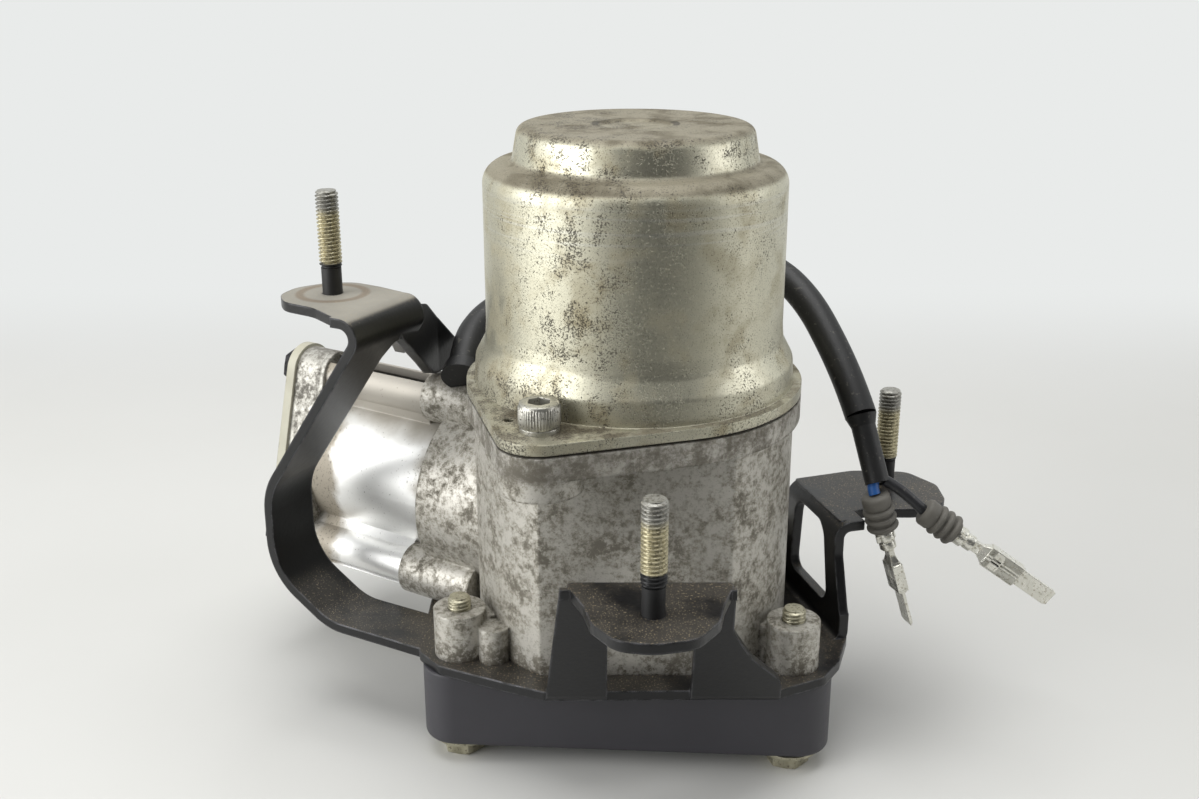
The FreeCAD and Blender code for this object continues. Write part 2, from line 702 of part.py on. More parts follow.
def cylinder_barrel():
    """Extruded barrel with three open channels for the long bolts."""
    length = barrel_end - collar_end
    shapes = [drum(barrel_radius, length, collar_end)]
    cuts = [drum(bore_radius, length + 20, collar_end - 10)]
    for step in range(3):
        angle = bolt_turn + 120.0 * step
        u, v = on_bolt_circle(step)
        rail = barrel_end - lug_end
        web = block(bore_radius + 1.0, bolt_circle, -channel_radius + 1.2, channel_radius - 1.2, lug_end, barrel_end)
        web.rotate(Vec(0, 0, 0), UP, angle)
        shapes += [drum(channel_radius, rail, lug_end, u, v), web]
        slot = block(bolt_circle, bolt_circle + 10, -channel_slot / 2, channel_slot / 2, lug_end - 1, barrel_end + 1)
        slot.rotate(Vec(0, 0, 0), UP, angle)
        cuts += [drum(channel_hole, rail + 2, lug_end - 1, u, v), slot]
    body = fuse(shapes).cut(cuts)
    spigot = ring(bore_radius + spigot_wall, bore_radius, spigot_depth - 1, collar_end - spigot_depth + 1)
    return along(fuse([body, spigot]))


def head_belt(radius, height, z):
    """Three-cornered plate round the long bolts."""
    circles = [on_bolt_circle(step) + (radius,) for step in range(3)]
    plate = belt(circles, height, z)
    holes = [drum(long_bolt_radius + loose, height + 2, z - 1, u, v) for u, v, r in circles]
    return plate.cut(holes)


def valve_plate():
    """Steel plate with two rows of ports between barrel and head."""
    plate = head_belt(head_belt_radius, valve_thickness, barrel_end)
    cuts = []
    for side in (-7, 7):
        for place in (-4, 0, 4):
            cuts.append(drum(1.2, valve_thickness + 2, barrel_end - 1, side, place))
    return along(plate.cut(cuts))


def reed_valve(side):
    """Thin spring leaf over one row of ports."""
    z = barrel_end + valve_thickness
    leaf = block(side - 2.4, side + 2.4, -8, 9, z, z + 0.3)
    return along(leaf)


def cylinder_head():
    """Head with two chambers, open towards the valve plate."""
    body = head_belt(head_belt_radius, head_thickness, head_start)
    room = drum(bore_radius - 1, head_thickness - head_wall, head_start)
    wall = block(-head_wall / 2, head_wall / 2, -bore_radius, bore_radius, head_start, head_start + head_thickness - head_wall)
    body = along(body.cut(room.cut(wall)))
    return body.cut(nipple_seat())


def nipple_seat():
    """Bore that takes the nipple, from the head's chamber outwards."""
    return turned_to_side(drum(nipple_stem, head_side, bore_radius - 3.5))


def turned_to_side(shape):
    """Place a shape built along +Z so that it points up out of the head."""
    moved = shape.copy()
    moved.rotate(Vec(0, 0, 0), Vec(1, 0, 0), -90)
    moved.rotate(Vec(0, 0, 0), UP, bolt_turn + 180.0 - 90.0)
    moved.translate(Vec(0, 0, head_start + head_thickness / 2))
    return along(moved)


def suction_nipple():
    """Barbed hose nipple pressed into the side of the head."""
    stem = drum(nipple_stem, head_side + 1.0 - bore_radius, bore_radius)
    tube = drum(nipple_neck, nipple_length, head_side)
    collar = drum(nipple_barb, nipple_collar, head_side)
    barb = Part.makeCone(nipple_barb, nipple_neck, nipple_barb_length, Vec(0, 0, head_side + nipple_length - nipple_barb_length))
    body = fuse([stem, tube, collar, barb])
    body = body.cut(drum(nipple_bore, nipple_length + 20, bore_radius - 2))
    return turned_to_side(body)


def head_plate():
    """Pale outer plate that the long bolts clamp."""
    return along(head_belt(head_lug_radius, head_plate_thickness, plate_start))


def long_bolt(step):
    """Long bolt through head and barrel channel into the casting."""
    u, v = on_bolt_circle(step)
    start = lug_end - long_bolt_grip + 1.5
    shank = drum(long_bolt_radius, plate_end - start, start, u, v)
    head = hexagon(long_bolt_head, long_bolt_head_height, plate_end, u, v)
    return along(fuse([shank, head]))


def barrel_seal():
    """O-ring in the corner between casting collar and barrel."""
    inner = bore_radius + spigot_wall + slip
    return along(ring(inner + seal_width - slip, inner, seal_height, collar_end - seal_height))


def armature_shaft():
    """Motor shaft from the top bush down to the crank web."""
    top = bush_bottom() + bush_height - 1.0
    return drum(shaft_radius, top - web_bottom, web_bottom)


def armature_core():
    """Laminated core with slots for the winding."""
    core = ring(core_radius, shaft_radius, core_height, core_bottom)
    cuts = []
    for i in range(core_slots):
        angle = 360.0 / core_slots * i
        slot = block(core_radius - slot_depth, core_radius + 1, -slot_width / 2, slot_width / 2, core_bottom - 1,
                     core_bottom + core_height + 1)
        pocket = drum(slot_width, core_height + 2, core_bottom - 1, core_radius - slot_depth)
        for piece in (slot, pocket):
            piece.rotate(Vec(0, 0, 0), UP, angle)
            cuts.append(piece)
    return core.cut(cuts)


def coil_end(z):
    """Winding head at one end of the core, a rounded ring."""
    coil = ring(coil_radius, shaft_radius + 2.5, coil_height, z)
    rims = [e for e in coil.Edges if len(e.Vertexes) == 1]
    return coil.makeFillet(2.0, rims)


def commutator():
    """Copper commutator with its gaps between bars."""
    z = commutator_bottom()
    body = ring(commutator_radius, shaft_radius, commutator_height, z)
    cuts = []
    for i in range(commutator_bars):
        gap = block(commutator_radius - 1.5, commutator_radius + 1, -0.4, 0.4, z - 1, z + commutator_height + 1)
        gap.rotate(Vec(0, 0, 0), UP, 360.0 / commutator_bars * (i + 0.5))
        cuts.append(gap)
    return body.cut(cuts)


def commutator_bottom():
    """Underside of the commutator, just under the lower winding head."""
    return core_bottom - coil_height - commutator_height


def magnet(side):
    """One curved field magnet against the can wall."""
    height = magnet_height
    z = core_bottom + core_height / 2 - height / 2
    sector = Part.makeCylinder(magnet_outer, height, Vec(0, 0, z), UP, magnet_angle)
    sector = sector.cut(drum(magnet_outer - magnet_thickness, height, z))
    sector.rotate(Vec(0, 0, 0), UP, side * 180.0 - magnet_angle / 2)
    return sector


def brush_plate():
    """Insulating plate on the deck with a box for each brush."""
    z = case_top - motor_recess
    body = ring(can_radius - can_wall - 1.3, brush_plate_hole, brush_plate_thickness, z)
    level = brush_level()
    for side in (0, 1):
        holder = block(commutator_radius + 3.0, commutator_radius + 15.0, -brush_width / 2 - 1.5, brush_width / 2 + 1.5,
                       z + brush_plate_thickness - 0.5, level + brush_height + 1.5)
        channel = block(commutator_radius + 2.0, commutator_radius + 16.0, -brush_width / 2 - slip,
                        brush_width / 2 + slip, level - slip, level + brush_height + slip)
        piece = holder.cut(channel)
        piece.rotate(Vec(0, 0, 0), UP, 180.0 * side)
        body = body.fuse(piece)
    return body.removeSplitter()


def brush_level():
    """Underside of the brushes, at the middle of the commutator."""
    return commutator_bottom() + (commutator_height - brush_height) / 2


def brush(side):
    """Carbon brush in its box, just clear of the commutator."""
    level = brush_level()
    body = block(commutator_radius - 1, commutator_radius + 13.0, -brush_width / 2, brush_width / 2, level,
                 level + brush_height)
    body = body.cut(drum(commutator_radius + loose, 40, level - 5))
    body.rotate(Vec(0, 0, 0), UP, 180.0 * side)
    return body


def bearing_level():
    """Underside of the lower ball bearing in its seat."""
    return case_top - motor_recess - bearing_height


def top_bush():
    """Sintered bush pressed into the can's cap."""
    return ring(bush_radius, shaft_radius + slip, bush_height - 1.0, bush_bottom())


def bearing_outer_ring():
    """Outer race with its groove."""
    z = bearing_level()
    body = ring(bearing_outer, bearing_outer - bearing_race, bearing_height, z)
    return body.cut(Part.makeTorus(ball_track(), ball_radius + slip, Vec(0, 0, z + bearing_height / 2)))


def bearing_inner_ring():
    """Inner race, tight on the shaft."""
    z = bearing_level()
    body = ring(shaft_radius + bearing_race, shaft_radius, bearing_height, z)
    return body.cut(Part.makeTorus(ball_track(), ball_radius + slip, Vec(0, 0, z + bearing_height / 2)))


def ball_track():
    """Radius of the circle of balls."""
    return (bearing_outer - bearing_race + shaft_radius + bearing_race) / 2


def bearing_balls():
    """Balls between the two races."""
    z = bearing_level() + bearing_height / 2
    balls = []
    for i in range(ball_count):
        angle = 2 * math.pi * i / ball_count
        x, y = ball_track() * math.cos(angle), ball_track() * math.sin(angle)
        balls.append(Part.makeSphere(ball_radius, Vec(x, y, z)))
    return Part.makeCompound(balls)


def crank_web():
    """Crank web with its counterweight, on the lower end of the shaft."""
    pin = outward * throw
    back = outward * -6.0
    body = belt([(pin.x, pin.y, pin_radius + 3.5), (back.x, back.y, web_radius)], web_thickness, web_bottom)
    body = body.cut(drum(shaft_radius, web_thickness, web_bottom))
    return body.cut(drum(pin_radius + slip, web_thickness - 2.0, web_bottom, pin.x, pin.y))


def crank_pin():
    """Pin in the rod's big eye, with a retaining head below it."""
    pin = outward * throw
    low = cylinder_level - eye_height / 2
    shank = drum(pin_radius, eye_height + web_gap - loose, low, pin.x, pin.y)
    head = drum(pin_radius + 2.0, 1.2, low - 1.2 - slip, pin.x, pin.y)
    collar = drum(pin_radius, slip, low - slip, pin.x, pin.y)
    return fuse([shank, collar, head])


def needle_bearing():
    """Needle bearing pressed into the big eye."""
    pin = outward * throw
    low = cylinder_level - eye_height / 2
    return ring(pin_radius + slip + needle_wall, pin_radius + slip, eye_height, low, pin.x, pin.y)


def connecting_rod():
    """Rod with a big eye on the crank and a small eye on the wrist pin."""
    low = -eye_height / 2
    big = drum(eye_radius, eye_height, low, 0, 0)
    small = drum(small_eye, eye_height, low, rod_length, 0)
    shank = block(0, rod_length, -rod_width / 2, rod_width / 2, -rod_height / 2, rod_height / 2)
    groove = block(eye_radius + 3, rod_length - small_eye - 3, -rod_width / 2 + 1.8, rod_width / 2 - 1.8,
                   -rod_height / 2, rod_height / 2)
    web = block(0, rod_length, -rod_width / 2, rod_width / 2, -1.0, 1.0)
    body = fuse([big, small, shank.cut(groove), web])
    body = body.cut(drum(pin_radius + slip + needle_wall, eye_height + 2, low - 1))
    body = body.cut(drum(wrist_radius + slip, eye_height + 2, low - 1, rod_length, 0))
    body.rotate(Vec(0, 0, 0), UP, 180.0 - cylinder_turn)
    body.translate(outward * throw + axis_point)
    return body


def piston():
    """Hollow piston with a ring groove and two bosses for the wrist pin."""
    crown = barrel_end - crown_gap
    low = crown - piston_height
    body = drum(bore_radius - bore_gap, piston_height, low)
    body = body.cut(drum(bore_radius - bore_gap - piston_wall, piston_height - piston_wall, low))
    groove = ring(bore_radius + 1, bore_radius - bore_gap - ring_depth, ring_height, crown - 2.0 - ring_height)
    boss = Part.makeCylinder(wrist_radius + 2.0, 2 * (bore_radius - bore_gap - 1.0),
                             Vec(0, -(bore_radius - bore_gap - 1.0), wrist_station), Vec(0, 1, 0))
    gap = block(-9, 9, -eye_height / 2 - 0.5, eye_height / 2 + 0.5, low - 1, wrist_station + small_eye + 0.7)
    body = fuse([body, boss.common(drum(bore_radius - bore_gap - 0.5, piston_height, low))]).cut([gap, groove])
    hole = Part.makeCylinder(wrist_radius, 2 * bore_radius, Vec(0, -bore_radius, wrist_station), Vec(0, 1, 0))
    return along(body.cut(hole))


def wrist_pin():
    """Pin through the piston's bosses and the rod's small eye."""
    half = bore_radius - bore_gap - 1.5
    return along(Part.makeCylinder(wrist_radius, 2 * half, Vec(0, -half, wrist_station), Vec(0, 1, 0)))


def piston_ring():
    """Ring that seals the piston in the bore."""
    crown = barrel_end - crown_gap
    inner = bore_radius - bore_gap - ring_depth
    return along(ring(bore_radius - slip, inner + slip, ring_height - slip, crown - 2.0 - ring_height))


def lead_grommet():
    """Rubber grommet where the lead leaves the casting's top lug."""
    foot = Vec(*sleeve_route[0])
    heading = (Vec(*sleeve_route[1]) - foot).normalize()
    low = foot - heading * grommet_height
    outer = Part.makeCone(grommet_radius, sleeve_radius + 0.6, grommet_height, low, heading)
    return outer


def tube(route, radius):
    """Round tube along straight runs joined by the largest tangent arcs."""
    points = [Vec(*p) for p in route]
    edges = []
    here = points[0]
    length = 0.0
    tightest = 1e9
    for i in range(1, len(points) - 1):
        back = (points[i - 1] - points[i])
        ahead = (points[i + 1] - points[i])
        run = min(back.Length, ahead.Length)
        half = math.pi / 2 - back.getAngle(ahead) / 2
        bend = 0.45 * run / math.tan(half)
        tightest = min(tightest, bend)
        start = points[i] + back.normalize() * (0.45 * run)
        end = points[i] + ahead.normalize() * (0.45 * run)
        toward = (back + ahead).normalize()
        mid = points[i] + toward * (bend / math.cos(half) - bend)
        edges.append(Part.LineSegment(here, start).toShape())
        edges.append(Part.Arc(start, mid, end).toShape())
        here = end
    edges.append(Part.LineSegment(here, points[-1]).toShape())
    path = Part.Wire(edges)
    circle = Part.Wire([Part.Circle(points[0], points[1] - points[0], radius).toShape()])
    body = path.makePipeShell([circle], True, False)
    length = path.Length
    expected = math.pi * radius ** 2 * length
    print("tube length %.1f tightest bend %.1f volume ratio %.4f" % (length, tightest, body.Volume / expected))
    return body


def pointed(shape, start, end):
    """Move a shape built along +Z so that it starts at one point and heads for another."""
    heading = Vec(*end) - Vec(*start)
    moved = shape.copy()
    moved.Placement = FreeCAD.Placement(Vec(*start), FreeCAD.Rotation(UP, heading))
    return moved


def lead_boot():
    """Tapered boot where the sleeve ends and the two wires come out."""
    start = sleeve_route[-1]
    reach = (Vec(*boot_end) - Vec(*start)).Length
    grip = Part.makeCone(sleeve_radius, boot_radius, boot_grip)
    return pointed(fuse([grip, drum(boot_radius, reach - boot_grip, boot_grip)]), start, boot_end)


def wire_seal(route, end):
    """Ribbed rubber seal on the end of one wire."""
    body = drum(seal_radius_outer - seal_groove, seal_length)
    body = body.fuse(drum(seal_radius_outer - seal_groove / 2, seal_neck))
    for i in range(seal_ribs):
        body = body.fuse(drum(seal_radius_outer, seal_rib, seal_neck + seal_pitch * (i + 0.4)))
    return pointed(body.removeSplitter(), route[-1], end)


def wire_terminal(route, end):
    """Crimped tab terminal: barrel, neck box and flat tab."""
    start = Vec(*route[-1])
    reach = (Vec(*end) - start).Length
    half = terminal_width / 2
    box_start = seal_length + terminal_crimp + terminal_neck
    barrel = drum(terminal_barrel, terminal_crimp, seal_length)
    neck = block(-terminal_barrel / 2, terminal_barrel / 2, -terminal_thickness, terminal_thickness,
                 seal_length + terminal_crimp / 2, box_start + terminal_thickness)
    box = block(-half, half, -terminal_box, terminal_box, box_start, reach - terminal_tab)
    thin = terminal_thickness / 2
    tab = block(terminal_step - half, half - terminal_step, -thin, thin, reach - terminal_tab - thin, reach)
    return pointed(fuse([barrel, neck, box, tab]), route[-1], end)


def nodes():
    """Every sub-part by name."""
    made = {
        "base_cover": base_cover(), "mounting_bracket": mounting_bracket(), "pump_housing": pump_housing(),
        "motor_gasket": motor_gasket(), "motor_can": motor_can(), "top_bush": top_bush(),
        "cylinder_barrel": cylinder_barrel(), "barrel_seal": barrel_seal(), "valve_plate": valve_plate(),
        "suction_reed": reed_valve(-7), "outlet_reed": reed_valve(7), "cylinder_head": cylinder_head(),
        "suction_nipple": suction_nipple(), "head_plate": head_plate(), "armature_shaft": armature_shaft(),
        "armature_core": armature_core(), "upper_coil": coil_end(core_bottom + core_height),
        "lower_coil": coil_end(core_bottom - coil_height), "commutator": commutator(), "left_magnet": magnet(1),
        "right_magnet": magnet(0), "brush_plate": brush_plate(), "left_brush": brush(1), "right_brush": brush(0),
        "bearing_outer_ring": bearing_outer_ring(), "bearing_inner_ring": bearing_inner_ring(),
        "bearing_balls": bearing_balls(), "crank_web": crank_web(), "crank_pin": crank_pin(),
        "needle_bearing": needle_bearing(), "connecting_rod": connecting_rod(), "piston": piston(),
        "wrist_pin": wrist_pin(), "piston_ring": piston_ring(), "lead_grommet": lead_grommet(),
        "lead_sleeve": tube(sleeve_route, sleeve_radius), "lead_boot": lead_boot(),
        "short_wire": tube(short_route, wire_radius), "long_wire": tube(long_route, wire_radius),
        "short_seal": wire_seal(short_route, short_end), "long_seal": wire_seal(long_route, long_end),
        "short_terminal": wire_terminal(short_route, short_end), "long_terminal": wire_terminal(long_route, long_end)}
    for name, place in zip(bolt_names, bolt_places):
        made["base_bolt_" + name] = base_bolt(place)
    for name, place in zip(["front", "rear"], screw_places):
        made["motor_screw_" + name] = motor_screw(place)
    for name, (place, level) in zip(["front", "left", "right"], stud_seats()):
        made[name + "_stud"] = stud(place, level)
    for step, name in enumerate(["top", "rear", "front"]):
        made["long_bolt_" + name] = long_bolt(step)
    return made


def main():
    """Build every sub-part and write one file for each."""
    os.makedirs("parts", exist_ok=True)
    for name, shape in nodes().items():
        if not shape.isValid() or shape.Volume < 0.01:
            print("check", name, shape.isValid(), round(shape.Volume, 2))
        shape.exportStep("parts/%s.step" % name)
    print("written")


main()
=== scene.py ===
# %% [markdown]
# # An electric vacuum pump on its bracket
# The real object is a motor in a drawn steel can, screwed to a die-cast crankcase,
# with one aluminium cylinder at its side. A folded black bracket carries the whole
# thing on three studs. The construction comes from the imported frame, in metres.
# This script gives every piece its finish and replaces the small parts whose look
# depends on threads, knurls and crimps.

# %% Load the frame
import bmesh
import bpy
import json
import math
from mathutils import Matrix, Vector


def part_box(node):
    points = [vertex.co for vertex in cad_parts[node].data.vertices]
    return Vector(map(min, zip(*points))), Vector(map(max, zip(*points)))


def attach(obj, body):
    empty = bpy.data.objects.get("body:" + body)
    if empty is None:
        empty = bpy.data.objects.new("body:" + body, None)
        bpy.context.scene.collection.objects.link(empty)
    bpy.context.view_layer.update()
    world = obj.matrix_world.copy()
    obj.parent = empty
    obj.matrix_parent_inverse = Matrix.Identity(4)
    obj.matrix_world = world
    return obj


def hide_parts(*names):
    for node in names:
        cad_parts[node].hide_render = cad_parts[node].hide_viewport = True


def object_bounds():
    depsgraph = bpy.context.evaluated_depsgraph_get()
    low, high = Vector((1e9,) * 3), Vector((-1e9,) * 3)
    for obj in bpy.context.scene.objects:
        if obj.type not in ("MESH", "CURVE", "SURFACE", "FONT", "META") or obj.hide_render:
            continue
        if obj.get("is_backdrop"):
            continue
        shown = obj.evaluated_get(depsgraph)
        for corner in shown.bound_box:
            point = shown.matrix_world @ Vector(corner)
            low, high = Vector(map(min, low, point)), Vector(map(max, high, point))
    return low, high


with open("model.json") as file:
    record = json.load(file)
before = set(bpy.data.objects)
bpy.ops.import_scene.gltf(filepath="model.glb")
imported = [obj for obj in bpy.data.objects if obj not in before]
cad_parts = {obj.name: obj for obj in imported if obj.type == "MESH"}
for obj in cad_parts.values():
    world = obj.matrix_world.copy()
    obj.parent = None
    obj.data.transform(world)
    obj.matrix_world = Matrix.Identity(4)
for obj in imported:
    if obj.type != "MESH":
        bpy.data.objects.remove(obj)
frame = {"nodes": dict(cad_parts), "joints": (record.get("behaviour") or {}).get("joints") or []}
cad_low, cad_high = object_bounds()
nodes = frame["nodes"]
mm = 0.001
stroke = next(joint for joint in frame["joints"] if joint["name"] == "piston_stroke")
outward = -Vector(stroke["axis"])
print("nodes", len(nodes), "box", [round(v, 3) for v in cad_high - cad_low])

# %% [markdown]
# The camera stands where the photographer stood: a little to the left of the motor's
# axis, a hand's width above its top, looking down by about nineteen degrees. The focal
# length is kept in pixels of a 1199 pixel wide picture, because that is how it was found.

# %% Camera
photo_width = 1199
focal_pixels = 1360.9
principal_rise = 4.7
look_down = 19.32
sensor_width = 36
camera_data = bpy.data.cameras.new("camera")
camera_data.sensor_width = sensor_width
camera_data.lens = focal_pixels / photo_width * sensor_width
camera_data.shift_y = -principal_rise / photo_width
camera_data.clip_start = 0.01
camera = bpy.data.objects.new("camera", camera_data)
camera.location = Vector((-8.85, -335.28, 203.84)) * mm
camera.rotation_euler = (math.radians(90 - look_down), 0, 0)
bpy.context.scene.collection.objects.link(camera)
bpy.context.scene.camera = camera
print("lens", round(camera_data.lens, 2), "mm")

# %% [markdown]
# Shader maths reads best as Python. A Wire wraps one socket, and its operators add the
# Math nodes. A Board is a tree of nodes: its node method makes any other node from a
# type, its settings and the values or wires of its sockets. A Paint is the Board of one
# material, with its shader at hand.


# %% Sockets that take part in sums
class Wire:
    """One shader socket that can stand in a Python expression."""

    def __init__(self, paint, socket):
        self.paint = paint
        self.socket = socket

    def math(self, operation, first, second):
        return self.paint.node("ShaderNodeMath", {"operation": operation}, {0: first, 1: second})

    def __add__(self, other):
        return self.math("ADD", self, other)

    __radd__ = __add__

    def __sub__(self, other):
        return self.math("SUBTRACT", self, other)

    def __rsub__(self, other):
        return self.math("SUBTRACT", other, self)

    def __mul__(self, other):
        return self.math("MULTIPLY", self, other)

    __rmul__ = __mul__

    def __pow__(self, other):
        return self.math("POWER", self, other)

    def most(self, other):
        return self.math("MAXIMUM", self, other)


class Board:
    """A node tree that takes new nodes, of a material or of the world."""

    def __init__(self, tree):
        self.tree = tree

    def node(self, kind, settings=None, inputs=None, out=0):
        made = self.tree.nodes.new(kind)
        for key, value in (settings or {}).items():
            setattr(made, key, value)
        for key, value in (inputs or {}).items():
            self.feed(made.inputs[key], value)
        return Wire(self, made.outputs[out])

    def feed(self, socket, value):
        if isinstance(value, Wire):
            self.tree.links.new(value.socket, socket)
        else:
            socket.default_value = value


class Paint(Board):
    """One procedural material under construction."""

    def __init__(self, name, **constants):
        self.material = bpy.data.materials.new(name)
        self.material.use_nodes = True
        super().__init__(self.material.node_tree)
        self.shader = self.tree.nodes["Principled BSDF"]
        for socket, value in constants.items():
            self.shader.inputs[socket.replace("_", " ")].default_value = value

    def set(self, **values):
        for key, value in values.items():
            self.feed(self.shader.inputs[key.replace("_", " ")], value)
        return self.material


print("shader sums ready")

# %% [markdown]
# Colours are written as they look on a screen, from 0 to 255, and turned into the linear
# values that a renderer adds up. The other helpers are the few patterns that worn metal
# needs: cloudy noise, soft thresholds, mixed colours, and a mask for edges.


# %% Patterns
def tone(red, green, blue):
    """Linear colour from screen values."""
    linear = [((v / 255 + 0.055) / 1.055) ** 2.4 if v > 10 else v / 3294 for v in (red, green, blue)]
    return (*linear, 1.0)


def place(paint):
    """Where a point of the surface is, in metres of the frame."""
    return paint.node("ShaderNodeTexCoord", out="Object")


def along_axis(paint, letter):
    """One coordinate of a point of the surface, in metres."""
    return paint.node("ShaderNodeSeparateXYZ", inputs={0: place(paint)}, out=letter)


def height_of(paint):
    """How high a point of the surface is, in metres."""
    return along_axis(paint, "Z")


def away_from(paint, x, y):
    """Level distance from an upright line through x and y, in metres."""
    across = along_axis(paint, "X") - x
    back = along_axis(paint, "Y") - y
    return (across * across + back * back) ** 0.5


def clouds(paint, scale, detail=3.0, stretch=(1, 1, 1), shift=0.0, roughness=0.55):
    """Cloudy noise from 0 to 1, with blobs about 1 / scale metres wide."""
    spot = paint.node("ShaderNodeMapping", inputs={"Vector": place(paint), "Scale": stretch,
                                                   "Location": (shift, shift * 0.7, shift * 1.3)})
    return paint.node("ShaderNodeTexNoise", inputs={"Vector": spot, "Scale": scale, "Detail": detail,
                                                    "Roughness": roughness})


def step(paint, value, low, high):
    """0 below low, 1 above high, and a smooth climb between."""
    return paint.node("ShaderNodeMapRange", {"interpolation_type": "SMOOTHSTEP"},
                      {"Value": value, "From Min": low, "From Max": high})


def band(paint, value, low, high, soft):
    """1 between low and high, 0 outside, with soft ends."""
    return step(paint, value, low - soft, low) * (1 - step(paint, value, high, high + soft))


def mixed(paint, first, second, share):
    """Colour between two, by a share."""
    return paint.node("ShaderNodeMix", {"data_type": "RGBA"}, {0: share, 6: first, 7: second}, out=2)


def relief(paint, height, depth, base=None):
    """Normal of a surface raised by height times depth, in metres."""
    inputs = {"Height": height, "Distance": depth, "Strength": 1.0}
    if base is not None:
        inputs["Normal"] = base
    return paint.node("ShaderNodeBump", inputs=inputs)


def soft_edges(paint, radius):
    """Normal as if every sharp edge were rounded a little."""
    return paint.node("ShaderNodeBevel", {"samples": 4}, {"Radius": radius})


def edge_mask(paint, radius):
    """1 on sharp edges, 0 on flat ground."""
    rounded = soft_edges(paint, radius)
    plain = paint.node("ShaderNodeNewGeometry", out="Normal")
    match = paint.node("ShaderNodeVectorMath", {"operation": "DOT_PRODUCT"}, {0: rounded, 1: plain},
                       out="Value")
    return step(paint, 1 - match, 0.01, 0.16)


def facing_up(paint):
    """1 where the surface looks up, 0 on walls."""
    normal = paint.node("ShaderNodeNewGeometry", out="Normal")
    return step(paint, paint.node("ShaderNodeSeparateXYZ", inputs={0: normal}, out="Z"), 0.6, 0.95)


print("patterns ready")

# %% [markdown]
# The can is deep drawn from zinc-plated steel. Years under a bonnet left it yellowish and
# dull, with pepper-fine corrosion that gathers in clusters, a brown film on the cap and a
# dirt line where the cap meets the shoulder. It stays a metal, so its roughness carries
# half of the look: clean zinc is smoother than the stained patches. The values below are
# heights in metres where one zone of the can ends and the next begins, and disc_edge is
# the radius of the small disc on top.


# %% Motor can
flange_top = 0.0925
wall_foot = 0.0955
worn_low = 0.133
worn_high = 0.141
seam_low = 0.1458
seam_high = 0.1478
rim_low = 0.152
rim_high = 0.1556
cap_edge = 0.1543
cap_flat = 0.1562
disc_edge = 0.0094


def can_zinc():
    paint = Paint("can_zinc")
    z = height_of(paint)
    x = along_axis(paint, "X")
    cluster = clouds(paint, 42, 4, shift=0.3)
    pepper = clouds(paint, 2100, 3, shift=1.1, roughness=0.66)
    clump = clouds(paint, 150, 4, shift=5.2, roughness=0.65)
    fine = clouds(paint, 3400, 2, shift=1.7)
    smear = clouds(paint, 60, 3, stretch=(1, 1, 0.16), shift=0.9)
    rings = clouds(paint, 900, 2, stretch=(0.02, 0.02, 1), shift=2.3)
    cap = step(paint, z, cap_edge, cap_flat)
    seam = band(paint, z, seam_low, seam_high, 0.0012)
    foot = 1 - step(paint, z, flange_top, wall_foot)
    swarm = band(paint, x, -0.02, -0.008, 0.014) * step(paint, clump, 0.42, 0.6)
    low_left = (1 - step(paint, x, -0.03, -0.012)) * (1 - step(paint, z, 0.096, 0.106))
    rim = band(paint, z, rim_low, rim_high, 0.002) * step(paint, clump, 0.42, 0.6)
    anywhere = step(paint, cluster * 0.5 + clump * 0.5, 0.5, 0.62)
    crowd = swarm.most(low_left * step(paint, clump, 0.36, 0.55)).most(rim).most(anywhere * 0.55)
    spots = step(paint, pepper + 0.13 * crowd, 0.615, 0.69)
    flecks = step(paint, fine + 0.05 * crowd, 0.57, 0.68)
    worn_ring = band(paint, z, worn_low, worn_high, 0.003) * step(paint, rings, 0.56, 0.62)
    flange_dirt = foot * facing_up(paint) * step(paint, clump, 0.36, 0.6)
    film = (cap * 0.92).most(seam * 0.9).most(flange_dirt * 0.9).most(low_left * 0.3)
    stain = step(paint, clouds(paint, 110, 4, shift=4.4), 0.44, 0.66)
    clean = mixed(paint, tone(208, 205, 186), tone(180, 177, 158), smear)
    dull = mixed(paint, clean, tone(146, 135, 106), stain * (0.35 + 0.4 * crowd))
    dull = mixed(paint, dull, tone(206, 206, 198), worn_ring * 0.35)
    dirty = mixed(paint, dull, mixed(paint, tone(112, 104, 86), tone(80, 72, 56), stain), film * 0.85)
    round_disc = away_from(paint, 0, 0)
    sides = band(paint, along_axis(paint, "Y"), -0.003, 0.003, 0.0015)
    notch = sides * band(paint, round_disc, disc_edge, disc_edge + 0.0012, 0.0005)
    ring = band(paint, round_disc, disc_edge, disc_edge + 0.0003, 0.0005)
    specks = (spots * 0.85).most(flecks * 0.5).most(cap * (notch * 0.8).most(ring * 0.35))
    colour = mixed(paint, dirty, tone(48, 42, 32), specks)
    rough = 0.33 + 0.14 * smear + 0.16 * stain + 0.28 * film
    metal = 0.95 - 0.6 * film - 0.5 * spots
    bumps = pepper * 0.3 + smear * 0.4 + rings * 0.12 - spots
    skin = relief(paint, bumps, 0.00005, soft_edges(paint, 0.0006))
    return paint.set(Base_Color=colour, Roughness=rough, Metallic=metal, Normal=skin)


print("finish", can_zinc.__name__)
